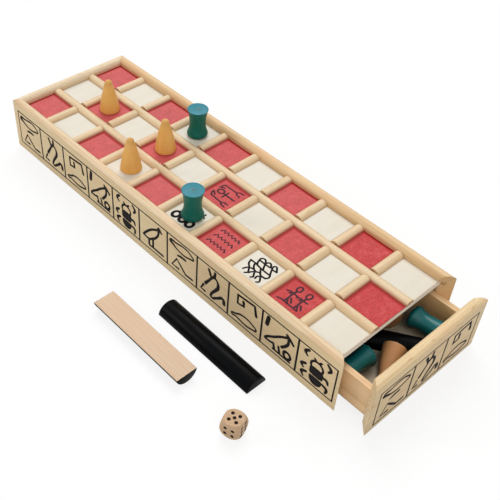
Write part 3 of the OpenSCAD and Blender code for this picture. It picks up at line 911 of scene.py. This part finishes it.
PIPS = {
    1: [(0.0, 0.0)],
    2: [(-1.0, 1.0), (1.0, -1.0)],
    3: [(-1.0, 1.0), (0.0, 0.0), (1.0, -1.0)],
    4: [(-1.0, -1.0), (-1.0, 1.0), (1.0, -1.0), (1.0, 1.0)],
    5: [(0.0, 0.0), (-1.0, -1.0), (-1.0, 1.0), (1.0, -1.0), (1.0, 1.0)],
    6: [(x, y) for x in (-1.4, 0.0, 1.4) for y in (-1.0, 1.0)],
}
DIE_FACES = (
    (5, Matrix.Identity(4)),
    (2, Matrix.Rotation(pi, 4, "X")),
    (4, Matrix.Rotation(pi / 2, 4, "X")),
    (3, Matrix.Rotation(-pi / 2, 4, "X")),
    (6, Matrix.Rotation(pi / 2, 4, "Y")),
    (1, Matrix.Rotation(-pi / 2, 4, "Y")),
)


def die_body(sizes, place):
    """The CAD die, merged and taken to its own coordinates, with its pips marked off."""
    bm = bmesh.new()
    bm.from_mesh(frame["nodes"]["die"].data)
    bmesh.ops.transform(bm, matrix=place.inverted(), verts=bm.verts)
    bmesh.ops.remove_doubles(bm, verts=bm.verts, dist=1e-6)
    half = sizes.die_size / 2
    reach = sizes.pip_width / 2 * PIP_MARGIN
    bottom, brim = half - sizes.pip_depth * 1.3, half - 0.004 * MM
    for face in bm.faces:
        middle = face.calc_center_median()
        for count, turn in DIE_FACES:
            local = turn.inverted() @ middle
            if bottom <= local.z <= brim and any(
                    (local.x - x * sizes.pip_spread / 2) ** 2
                    + (local.y - y * sizes.pip_spread / 2) ** 2 < reach ** 2
                    for x, y in PIPS[count]):
                face.material_index = 1
    return bm


# ---------------------------------------------------------------- ink


def half_width(width, point):
    """Half the pen's width at a point, whose third number, if any, scales it."""
    return width / 2 * (point[2] if len(point) > 2 else 1.0)


def drawn(sheet, strokes, **settings):
    """Mesh of flat curves, in mm on a sheet, taken to their place on the board."""
    curve = bpy.data.curves.new("pen", "CURVE")
    for key, value in settings.items():
        setattr(curve, key, value)
    for width, closed, smooth, points in strokes:
        spline = curve.splines.new("BEZIER")
        spline.bezier_points.add(len(points) - 1)
        spline.use_cyclic_u = closed
        spline.resolution_u = 6 if smooth else 2
        for at, point in zip(spline.bezier_points, points):
            at.co = (point[0], point[1], 0.0)
            at.radius = half_width(width, point)
            at.handle_left_type = at.handle_right_type = "AUTO" if smooth else "VECTOR"
    holder = bpy.data.objects.new("drawn", curve)
    bpy.context.scene.collection.objects.link(holder)
    bpy.context.view_layer.update()
    view = bpy.context.evaluated_depsgraph_get()
    mesh = bpy.data.meshes.new_from_object(holder.evaluated_get(view))
    bpy.data.objects.remove(holder)
    bpy.data.curves.remove(curve)
    mesh.transform(sheet)
    return mesh


def draw(bm, place, strokes, fills=(), weight=1.0):
    """Draw strokes and filled shapes, in mm on a flat sheet, into the ink's mesh."""
    sheet = place @ Matrix.Diagonal((MM, MM, INK_DEPTH, 1.0))
    strokes = [(width * weight, *rest) for width, *rest in strokes]
    meshes = [drawn(sheet, strokes, dimensions="3D", bevel_depth=1.0, bevel_resolution=1,
                    use_fill_caps=True)]
    if fills:
        areas = [(AREA_WIDTH, True, smooth, points) for smooth, points in fills]
        meshes.append(drawn(sheet, areas, dimensions="2D", fill_mode="BOTH", extrude=1.0))
    for mesh in meshes:
        bm.from_mesh(mesh)
        bpy.data.meshes.remove(mesh)
    for width, closed, _, points in strokes:
        for point in () if closed else (points[0], points[-1]):
            radius = half_width(width, point)
            bmesh.ops.create_uvsphere(
                bm, u_segments=10, v_segments=4, radius=1.0,
                matrix=sheet @ Matrix.Translation((point[0], point[1], 0.0))
                @ Matrix.Diagonal((radius, radius, width / 2, 1.0)))


def draw_frieze(bm, sheet, edges, low, high, figures, weight, scale):
    """Rule a row of fields in mm, upright lines at their edges, and draw a figure in each."""
    start, end = edges[0], edges[-1]
    rules = [straight(RULE_WIDTH, (start, low), (end, low), (end, high), (start, high),
                      closed=True)]
    rules += [straight(RULE_WIDTH, (at, low), (at, high)) for at in edges[1:-1]]
    draw(bm, sheet, rules)
    for at, figure in zip(edges[:-1], figures):
        corner = Matrix.Translation((at * MM, low * MM, 0.0))
        strokes, fills = figure()
        draw(bm, sheet @ corner @ Matrix.Diagonal((scale, scale, 1.0, 1.0)), strokes, fills,
             weight)


def finish_ink(bm, name, material, body):
    bmesh.ops.recalc_face_normals(bm, faces=bm.faces)
    for face in bm.faces:
        face.smooth = True
    piece = store(name, bm, [material])
    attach(piece, body)


def line(width, *points, closed=False, smooth=True):
    return (width, closed, smooth, points)


def straight(width, *points, closed=False):
    return (width, closed, False, points)


# Six frieze figures in a panel 34 mm wide and 33 mm high, from its lower left corner
def frieze_reed_boat():
    return ([line(1.1, (3.75, 27.5, 1.7), (10.8, 29.2), (22.5, 30.4), (26.7, 28.75), (30, 25.8),
                  (26.7, 24.2), (19.2, 22.5), (12.5, 23.3), (6.7, 25.8, 1.5), closed=True),
             straight(1.4, (13.3, 4.2), (5.8, 4.2), (11.25, 13.3), (15.8, 9.2), (21.7, 3.9),
                      (29.2, 4.2))],
            [(True, [(11.5, 17.3), (14, 19.3), (18, 19.9), (22.3, 18.8), (18, 17.6),
                     (14.5, 17.2)])])


def frieze_horned_snake():
    return ([straight(1.7, (12.9, 29.6), (15.4, 24.2)),
             straight(1.7, (19.6, 30.4), (19.2, 25.4)),
             line(1.4, (18.2, 25.2, 1.4), (16.6, 23.6), (13.75, 19.2), (9.6, 12.9, 1.3)),
             straight(1.4, (7.9, 10.4), (5, 4.6), (9.6, 4.2)),
             line(1.5, (18.2, 26.0), (22.1, 23.75), (23.3, 18.75, 1.4), (20.8, 13.75, 1.2),
                  (17.1, 7.9), (16.25, 3.9), (22.9, 7.1), (29.0, 10.8, 1.3), (30.2, 6.7, 1.5))],
            [])


def frieze_hook_and_mouth():
    return ([straight(1.8, (15.4, 25.25), (15.8, 20.7), (9.6, 19.8), (9.6, 28.2), (26.25, 29.8),
                      (28.3, 21.1)),
             line(1.15, (4.6, 4.8), (9.6, 8.2), (12.9, 10.25), (19.6, 11.1), (25.4, 9.8),
                  (29.6, 6.9), (25.4, 4.8), (18.75, 3.6), (12.9, 4.4), (8.75, 5.1),
                  closed=True)],
            [])


def frieze_wading_bird():
    return ([straight(2.3, (5.8, 30.25), (4.6, 22.75)),
             line(1.4, (23.4, 24.8), (18, 21.0), (12.5, 16.1), (5, 9.8), (4.3, 8.3)),
             line(1.4, (4.2, 8.2), (10.8, 8.7), (12.5, 9.4)),
             line(1.6, (25.4, 24.6), (25.4, 19.8), (23.3, 15.7), (20, 11.9)),
             straight(1.5, (12.5, 9.4), (13.75, 4.8)), straight(1.5, (17.5, 9.8), (18.75, 4.8)),
             straight(1.3, (12.5, 3.6), (28.75, 3.2)),
             straight(1.7, (23.6, 27.6), (26.6, 25.6), (29.8, 22.6)),
             line(1.6, (29, 7.75), (27.9, 10.1), (25.8, 10.95), (23.5, 10.1), (22.6, 7.75),
                  (23.5, 5.5), (25.8, 4.55), (27.9, 5.5), closed=True)],
            [(False, [(22.5, 25.7), (24.2, 27.75), (26.7, 26.9), (30.4, 23.2), (28.3, 22.75),
                      (25.8, 24.4)])])


def frieze_scarab():
    return ([line(1.3, (14.2, 16.9), (12.4, 20.2), (13.9, 23.8), (17.75, 25.3), (21.6, 23.8),
                  (23.1, 20.2), (21.3, 16.9)),
             line(1.3, (14.9, 26.9), (17, 25.2)), line(1.3, (20.9, 27.2), (19, 25.3)),
             line(1.9, (9.4, 30.7, 0.8), (6.5, 27.3), (8.6, 24.4, 0.6)),
             line(1.9, (26.1, 30.7, 0.8), (29, 27.3), (27.3, 24, 0.6)),
             line(1.9, (8.2, 16.1, 0.8), (4.8, 13.2), (6.5, 10.7, 0.6)),
             line(1.9, (24.4, 15.25, 0.8), (27.3, 14.8), (28.6, 11.9, 0.6)),
             line(1.9, (9.4, 8.6, 0.8), (5.7, 5.7), (7.3, 2.3, 0.6)),
             line(1.9, (24.4, 8.2, 0.8), (28.2, 6.5), (27.75, 2.3, 0.6))],
            [(True, [(12.4, 17.9), (14.4, 18.9), (18.0, 19.2), (21.6, 18.9), (23.6, 17.9),
                     (24.1, 14.4), (23.5, 11.2), (21.6, 10.5), (18, 10.4), (14.4, 10.5),
                     (12.5, 11.2), (11.9, 14.4)]),
             (True, [(12.6, 9.2), (14.6, 9.7), (18.0, 9.8), (21.4, 9.7), (23.4, 9.2),
                     (23.6, 6.2), (21.8, 3.0), (18, 1.8), (14.2, 3.0), (12.4, 6.2)])])


def frieze_perched_bird():
    return ([line(1.4, (23.0, 26.8), (18.8, 24.4), (14.8, 21.7), (9, 15.8), (5.25, 10.9)),
             line(1.4, (5.25, 10.8), (12.3, 10.4), (15.25, 12.2), (19.8, 16.25), (23.2, 21.7),
                  (24.0, 26.4, 1.3)),
             straight(1.6, (11.9, 10.4), (12.3, 4.6)), straight(1.6, (16.9, 13.75), (16.9, 4.6)),
             straight(1.4, (12.3, 4.1), (29, 3.85))],
            [(False, [(22.1, 28.9), (24, 30.4), (26.1, 29.2), (28.6, 25.8), (27.3, 25),
                      (24.8, 26.25), (22.75, 25.4)])])


FRIEZE = (frieze_reed_boat, frieze_horned_snake, frieze_hook_and_mouth, frieze_wading_bird,
          frieze_scarab, frieze_perched_bird)


def house_three_beauties():
    strokes = []
    for u in (7.0, 14.9, 22.4):
        strokes += [line(1.9, (u, 4.6), (u + 2.9, 7.9), (u, 11.4), (u - 2.9, 7.9), closed=True),
                    straight(1.2, (u, 11.5), (u, 24.5)),
                    straight(1.2, (u - 2, 21), (u + 2, 21))]
    return strokes


def house_three_waters():
    strokes = []
    for v in (22.7, 15.6, 8.1):
        points = [(5.75 + 1.85 * i, v + (1.2 if i % 2 else -1.2)) for i in range(11)]
        strokes.append(straight(1.15, *points))
    return strokes


def house_three_seated():
    def px(*points):
        return [(x / 30 - 1, 30 - y / 30) for x, y in points]

    heads = (((290, 250), (285, 190), (350, 145), (400, 170), (470, 250)),
             ((460, 240), (470, 180), (515, 145), (560, 165), (610, 230)),
             ((640, 200), (640, 150), (685, 125), (740, 170), (800, 240)))
    bodies = (((290, 250), (340, 370), (380, 400)), ((460, 240), (530, 370), (560, 410)),
              ((640, 200), (740, 370), (800, 480), (770, 540), (690, 560)),
              ((160, 385), (300, 385), (500, 410), (740, 415)),
              ((170, 390), (200, 480), (300, 570)), ((300, 390), (340, 470), (430, 550)),
              ((500, 420), (560, 490), (640, 560), (770, 555)),
              ((340, 560), (430, 545), (480, 560), (560, 520)),
              ((310, 570), (270, 620), (240, 700)),
              ((310, 580), (360, 650), (390, 700), (350, 760)),
              ((480, 570), (430, 640), (410, 700)),
              ((480, 580), (520, 650), (560, 710), (530, 760)),
              ((660, 580), (610, 640), (620, 710)),
              ((660, 590), (710, 650), (750, 730), (710, 770)))
    bases = (((320, 250), (470, 250)), ((500, 250), (610, 240)), ((800, 240), (690, 250)))
    return ([line(1.15, *px(*item)) for item in heads + bodies]
            + [straight(1.15, *px(*item)) for item in bases])


def house_two_seated():
    strokes = []
    for shift in (0.0, 9.1):
        def at(*points):
            return [(u + shift, v) for u, v in points]
        strokes += [
            line(1.1, *at((10.6, 19.7), (12.5, 22.4), (10.6, 25.1), (8.7, 22.4)), closed=True),
            straight(1.1, *at((4.9, 15.3), (7.7, 16.7), (10.6, 16.4), (14.1, 16.4))),
            straight(1.1, *at((7.7, 14.6), (10.2, 16))),
            line(1.2, *at((10.6, 19.6), (10.2, 13.9), (10.6, 10.3), (10.2, 6.4))),
            straight(1.1, *at((10.6, 10.3), (13.8, 6))),
            straight(1.1, *at((12.4, 11.7), (15.2, 8.4)))]
    strokes.append(straight(1.1, (4.9, 5.3), (7.7, 6.4), (22.7, 6)))
    return strokes


def house_sceptres_and_ankh():
    return [straight(1.1, (6.2, 22.3), (18.7, 22.7), (20.75, 24.75), (24.5, 25.2)),
            straight(1.1, (18.7, 22.7), (20.75, 21), (24.1, 20.6)),
            straight(1.1, (6.2, 22.3), (4.9, 20.2), (6.6, 18.5)),
            straight(1.1, (4.5, 17.7), (8.7, 19.75)),
            line(1.2, (12.4, 14.75), (9.5, 17.25), (6.6, 14.75), (9.5, 12.25), closed=True),
            straight(1.2, (14.9, 17.7), (14.9, 10.6)), straight(1.2, (12.4, 14.4), (24.5, 14.3)),
            straight(1.1, (7, 6.4), (18.7, 5.6), (21.2, 7.25), (24.5, 7.25)),
            straight(1.1, (18.7, 5.6), (21.2, 3.9), (24.5, 3.5)),
            straight(1.1, (7, 6.4), (5.3, 8.5), (4.9, 11)),
            straight(1.1, (5.3, 11), (8.7, 8.5))]


HOUSES = (((5, 0), house_three_beauties), ((7, 0), house_three_seated),
          ((6, 0), house_three_waters), ((8, 0), house_two_seated),
          ((5, 1), house_sceptres_and_ankh))

# Fields of the friezes, in mm on their sheets
RAIL_FIELDS = {"edges": [-186.3 + 34.145 * i for i in range(12)], "low": 6.9, "high": 39.9,
               "figures": [FRIEZE[i % len(FRIEZE)] for i in range(11)],
               "weight": 1.6, "scale": 1.0}
FRONT_FIELDS = {"edges": (-52.3, -17.3, 18.1, 53.5), "low": 4.6, "high": 38.75,
                "figures": FRIEZE[:3], "weight": 1.65, "scale": 1.03}


# ---------------------------------------------------------------- operators


class SENET_OT_studio(bpy.types.Operator):
    """Pale floor, soft lights and the camera"""
    bl_idname = "senet.studio"
    bl_label = "Studio"

    def execute(self, context):
        studio = context.scene.senet_studio
        self.floor(studio)
        self.lights(context, studio)
        self.room(context, studio)
        self.camera(context, studio)
        return {"FINISHED"}

    def whiten(self, tree, plain, kind, level, share, end):
        """Let the camera, also in a reflection, see a share of white in place of a shader."""
        path = add_node(tree, "ShaderNodeLightPath").outputs
        glass = math(tree, "MAXIMUM", path["Is Glossy Ray"], path["Is Transmission Ray"])
        seen = math(tree, "MAXIMUM", path["Is Camera Ray"], glass)
        white = add_node(tree, kind)
        feed_all(tree, white, (("Color", WHITE), ("Strength", level)))
        mix = add_node(tree, "ShaderNodeMixShader")
        feed_all(tree, mix, enumerate((times(tree, seen, share), plain.outputs[0],
                                       white.outputs[0])))
        feed(tree, end, "Surface", mix.outputs[0])

    def floor(self, studio):
        bm = bmesh.new()
        bmesh.ops.create_grid(bm, x_segments=1, y_segments=1, size=FLOOR_REACH)
        bmesh.ops.translate(bm, vec=(0.0, 0.0, -FLOOR_DROP), verts=bm.verts)
        material, tree, shader = open_material("pale floor", 0.9, Specular_IOR_Level=0.1)
        cloud = noise(tree, object_place(tree), 3.0)
        pale = studio.floor_colour
        feed(tree, shader, "Base Color", blend(tree, cloud, pale, tinted(pale, 0.985)))
        self.whiten(tree, shader, "ShaderNodeEmission", FLOOR_GLOW, FLOOR_WHITE_SHARE,
                    tree.nodes["Material Output"])
        store("floor", bm, [material])

    def lights(self, context, studio):
        for name, way, share, width in LAMPS:
            lamp = bpy.data.lights.new(name, "SUN")
            lamp.energy = studio.key_level * share
            lamp.angle = radians(width)
            holder = bpy.data.objects.new(name, lamp)
            holder.rotation_euler = Vector(way).to_track_quat("Z", "Y").to_euler()
            context.scene.collection.objects.link(holder)

    def room(self, context, studio):
        world = bpy.data.worlds.new("soft room")
        context.scene.world = world
        world.use_nodes = True
        tree = world.node_tree
        tree.nodes.clear()
        room = add_node(tree, "ShaderNodeBackground")
        feed_all(tree, room, (("Color", (1.0, 0.995, 0.985)), ("Strength", studio.fill_level)))
        self.whiten(tree, room, "ShaderNodeBackground", 1.0, 1.0,
                    add_node(tree, "ShaderNodeOutputWorld"))
        context.scene.view_settings.view_transform = "Standard"

    def camera(self, context, studio):
        turn, rise, roll = studio.camera_turn, studio.camera_rise, studio.camera_roll
        back = Vector((sin(turn) * cos(rise), -cos(turn) * cos(rise), sin(rise)))
        right = (-back).cross(Vector((0.0, 0.0, 1.0))).normalized()
        up = right.cross(-back)
        tilted = cos(roll) * right + sin(roll) * up
        upward = cos(roll) * up - sin(roll) * right
        turned_to = Matrix((tilted, upward, back)).transposed().to_4x4()
        lens = bpy.data.cameras.new("camera")
        lens.sensor_width = SENSOR_WIDTH
        lens.lens = studio.lens_length
        lens.shift_x, lens.shift_y = studio.lens_shift
        lens.clip_start = 0.01
        lens.dof.use_dof = False
        camera = bpy.data.objects.new("camera", lens)
        camera.matrix_world = Matrix.Translation(studio.camera_place) @ turned_to
        context.scene.collection.objects.link(camera)
        context.scene.camera = camera


class SENET_OT_rails(bpy.types.Operator):
    """Waxed pine for the three fixed rails"""
    bl_idname = "senet.rails"
    bl_label = "Rails"

    def execute(self, context):
        colours = context.scene.senet_colours
        light, dark = colours.pine_light, colours.pine_dark
        # Painted shade: the left rail's outer face is multiplied by a yellower, darker colour
        dress("left_rail", pine("pine of the left rail", light, dark, pith=(0.0, 0.01, -0.05),
                                face=(1, (0.97, 0.98, 0.87))))
        dress("right_rail", pine("pine of the right rail", tinted(light, 0.95, 0.84, 0.68), dark,
                                 shift=(0.7, 0.0, 0.0), pith=(0.0, 0.14, -0.02), warmth=0.2))
        # Painted light: the end rail's pine is paler for the bright room behind it
        dress("end_rail", pine("pine of the end rail", tinted(light, 1.01, 1.05, 1.08), dark,
                               turn=ACROSS, shift=(0.3, 0.0, 0.0), pith=(0.0, -0.24, 0.0)))
        return {"FINISHED"}


class SENET_OT_playing_field(bpy.types.Operator):
    """Panels, stained squares and the strips between them"""
    bl_idname = "senet.playing_field"
    bl_label = "Playing field"

    def execute(self, context):
        colours = context.scene.senet_colours
        light, dark, stain = colours.ply_light, colours.ply_dark, colours.stain_pool_and_shadow
        # Painted light: the drawer bottom's ply is made lighter than the panels for the light on
        # the drawer's floor
        painted_light_ply = tinted(light, 1.28, 1.20, 1.08)
        for node in PANELS:
            low, high, size = box_of(node)
            veneer = min(VENEER, size.z * VENEER_SHARE)
            playing = node == "playing_panel"
            dress(node, plywood("ply of the " + node.replace("_", " "),
                                painted_light_ply if node == "drawer_bottom" else light, dark,
                                low.z + veneer, high.z - veneer, high.x,
                                lean=0.9 if playing else 0.15, strips=playing))
        dress("red_squares", red_stain(colours.stain_light, colours.stain_deep, stain))
        # The strips' feet take the pooled stain colour, with painted shade and painted red bounce
        # light
        fixed = {"light": colours.strip_light, "dark": colours.strip_dark,
                 "ring_gap": 1.9 * MM, "stain": stain, "flecks": 0.5}
        along = pine("pine of the long strips", shift=(0.1, 0.0, 0.0), pith=(0.0, 0.02, -0.04),
                     **fixed)
        across = pine("pine of the short strips", turn=ACROSS, pieces=True,
                      pith=(0.0, 0.5, -0.1), **fixed)
        for node in frame["nodes"]:
            if node.startswith("long_strip"):
                dress(node, along)
            elif node.startswith("short_strip"):
                dress(node, across)
        return {"FINISHED"}


class SENET_OT_drawer_wood(bpy.types.Operator):
    """Pine for the drawer's front, sides and back"""
    bl_idname = "senet.drawer_wood"
    bl_label = "Drawer"

    def execute(self, context):
        colours = context.scene.senet_colours
        light, dark = colours.pine_light, colours.pine_dark
        brown = tinted(light, 1.05, 0.92, 0.76)
        # Painted shade: the drawer front's outer face is multiplied by a darker colour
        dress("drawer_front", pine("pine of the drawer front", tinted(light, 1.01, 0.98, 0.86),
                                   dark, turn=ACROSS, shift=(0.9, 0.0, 0.0),
                                   pith=(0.0, 0.26, 0.0), flecks=0.85,
                                   face=(0, (0.88, 0.88, 0.84))))
        # Painted shade deep in the drawer on the left side
        dress("drawer_side_left", pine("pine of the drawer side left", brown, dark,
                                       shift=(0.5, 0.0, 0.0), pith=(0.0, -0.1, 0.03),
                                       ring_gap=3.2 * MM, shade=0.30))
        # Painted light: the right side's faces across the drawer are multiplied by a lighter,
        # warmer colour
        dress("drawer_side_right", pine("pine of the drawer side right", brown, dark,
                                        shift=(1.5, 0.0, 0.0), pith=(0.0, 0.1, 0.03),
                                        ring_gap=3.2 * MM, face=(1, (1.20, 1.12, 1.00))))
        # Painted shade deep in the drawer on the back
        dress("drawer_back", pine("pine of the drawer back", brown, dark, turn=ACROSS,
                                  shift=(2.5, 0.0, 0.0), pith=(0.0, 0.1, 0.0), shade=0.30))
        return {"FINISHED"}


class SENET_OT_cones(bpy.types.Operator):
    """Five turned cones in gold paint, three on the board and two in the drawer"""
    bl_idname = "senet.cones"
    bl_label = "Cones"

    def execute(self, context):
        sizes, colours = context.scene.senet_sizes, context.scene.senet_colours
        gold = gold_paint(colours.gold, colours.gold_dark, sizes.cone_height)
        for number, node in enumerate(("cone_far", "cone_middle", "cone_near",
                                       "stored_cone_front", "stored_cone_back")):
            place = lying_cone(sizes, node) if node in STORED else standing(node)
            settle(turned(cone_outline(sizes)), "turned_" + node, place, [gold], number, node)
        return {"FINISHED"}


class SENET_OT_spools(bpy.types.Operator):
    """Five waisted spools in green paint, two on the board and three in the drawer"""
    bl_idname = "senet.spools"
    bl_label = "Spools"

    def execute(self, context):
        sizes, colours = context.scene.senet_sizes, context.scene.senet_colours
        green = green_paint(colours.green, colours.green_dark, colours.green_top_reflection,
                            sizes.spool_height)
        for number, node in enumerate(("spool_far", "spool_near", "stored_spool_left",
                                       "stored_spool_right", "stored_spool_back")):
            place = lying_spool(sizes, node) if node in STORED else standing(node)
            settle(turned(spool_outline(sizes)), "turned_" + node, place, [green],
                   FIRST_SPOOL + number, node)
        return {"FINISHED"}


class SENET_OT_sticks(bpy.types.Operator):
    """Four half-round throwing sticks, stained black on the back and bare on the flat"""
    bl_idname = "senet.sticks"
    bl_label = "Throwing sticks"

    def execute(self, context):
        sizes, colours = context.scene.senet_sizes, context.scene.senet_colours
        black = black_stain(colours.black)
        bare = bare_wood("bare wood of the sticks", colours.bare_light, colours.bare_dark)
        for number, node in enumerate(("stick_round_up", "stick_flat_up",
                                       "stored_stick_front", "stored_stick_back")):
            place = in_drawer(node) if node in STORED else lying_stick(node)
            settle(stick_body(sizes), "shaped_" + node, place, [black, bare],
                   FIRST_STICK + number, node)
        return {"FINISHED"}


class SENET_OT_die(bpy.types.Operator):
    """Wooden die with dark drilled pips"""
    bl_idname = "senet.die"
    bl_label = "Die"

    def execute(self, context):
        sizes, colours = context.scene.senet_sizes, context.scene.senet_colours
        low, high, _ = box_of("die")
        place = Matrix.Translation((low + high) / 2) @ Matrix.Rotation(DIE_TURN, 4, "Z")
        wood = bare_wood("bare wood of the die", tinted(colours.bare_light, 0.84, 0.79, 0.70),
                         (0.34, 0.175, 0.07), ring_gap=1.1 * MM, pith=(0.0, 0.02, -0.02),
                         grain=1.8)
        pip = ink("burnt pips", (0.02, 0.012, 0.008), (0.06, 0.035, 0.02))
        settle(die_body(sizes, place), "rounded_die", place, [wood, pip], DIE_NUMBER, "die",
               sharp=radians(25.0))
        return {"FINISHED"}


class SENET_OT_prints(bpy.types.Operator):
    """Printed friezes on the left rail and on the drawer front"""
    bl_idname = "senet.prints"
    bl_label = "Printed friezes"

    def execute(self, context):
        black = ink("printing ink", context.scene.senet_colours.ink, (0.030, 0.023, 0.020))
        for name, body, sheet, fields in (
                ("rail_frieze", "case", RAIL_SHEET, RAIL_FIELDS),
                ("drawer_frieze", "drawer", FRONT_SHEET, FRONT_FIELDS)):
            bm = bmesh.new()
            draw_frieze(bm, sheet, **fields)
            finish_ink(bm, name, black, body)
        return {"FINISHED"}


class SENET_OT_house_signs(bpy.types.Operator):
    """Painted signs of the five marked squares"""
    bl_idname = "senet.house_signs"
    bl_label = "House signs"

    def execute(self, context):
        colours = context.scene.senet_colours
        dark = ink("sign ink", colours.ink, (0.03, 0.03, 0.034))
        faded = ink("sign ink on the stain", colours.faded_ink, (0.16, 0.03, 0.045))
        for (column, row), figure in HOUSES:
            red = (column + row) % 2 == 0
            corner = SQUARE_FIRST + Vector((column, row, 0.0)) * SQUARE_STEP
            corner.z += STAIN_HIGH if red else 0.0
            bm = bmesh.new()
            draw(bm, Matrix.Translation(corner), figure(), weight=1.35)
            finish_ink(bm, figure.__name__ + "_sign", faded if red else dark, "case")
        return {"FINISHED"}


class SENET_PT_board(bpy.types.Panel):
    """Steps that dress the board, in order"""
    bl_label = "Senet board"
    bl_idname = "SENET_PT_board"
    bl_space_type = "VIEW_3D"
    bl_region_type = "UI"
    bl_category = "Senet"

    def draw(self, context):
        column = self.layout.column(align=True)
        for step in STEPS:
            column.operator(step.bl_idname)
        for group in (context.scene.senet_sizes, context.scene.senet_colours,
                      context.scene.senet_studio):
            box = self.layout.box()
            for key in group.bl_rna.properties.keys():
                if key not in ("rna_type", "name"):
                    box.prop(group, key)


STEPS = (SENET_OT_studio, SENET_OT_rails, SENET_OT_playing_field, SENET_OT_drawer_wood,
         SENET_OT_cones, SENET_OT_spools, SENET_OT_sticks, SENET_OT_die, SENET_OT_prints,
         SENET_OT_house_signs)
CLASSES = (SenetSizes, SenetColours, SenetStudio) + STEPS + (SENET_PT_board,)


def register():
    for item in CLASSES:
        bpy.utils.register_class(item)
    bpy.types.Scene.senet_sizes = PointerProperty(type=SenetSizes)
    bpy.types.Scene.senet_colours = PointerProperty(type=SenetColours)
    bpy.types.Scene.senet_studio = PointerProperty(type=SenetStudio)


def unregister():
    del bpy.types.Scene.senet_studio
    del bpy.types.Scene.senet_colours
    del bpy.types.Scene.senet_sizes
    for item in reversed(CLASSES):
        bpy.utils.unregister_class(item)


def main():
    register()
    build_groups()
    bpy.ops.senet.studio()
    bpy.ops.senet.rails()
    bpy.ops.senet.playing_field()
    bpy.ops.senet.drawer_wood()
    bpy.ops.senet.cones()
    bpy.ops.senet.spools()
    bpy.ops.senet.sticks()
    bpy.ops.senet.die()
    bpy.ops.senet.prints()
    bpy.ops.senet.house_signs()


if __name__ == "__main__":
    main()
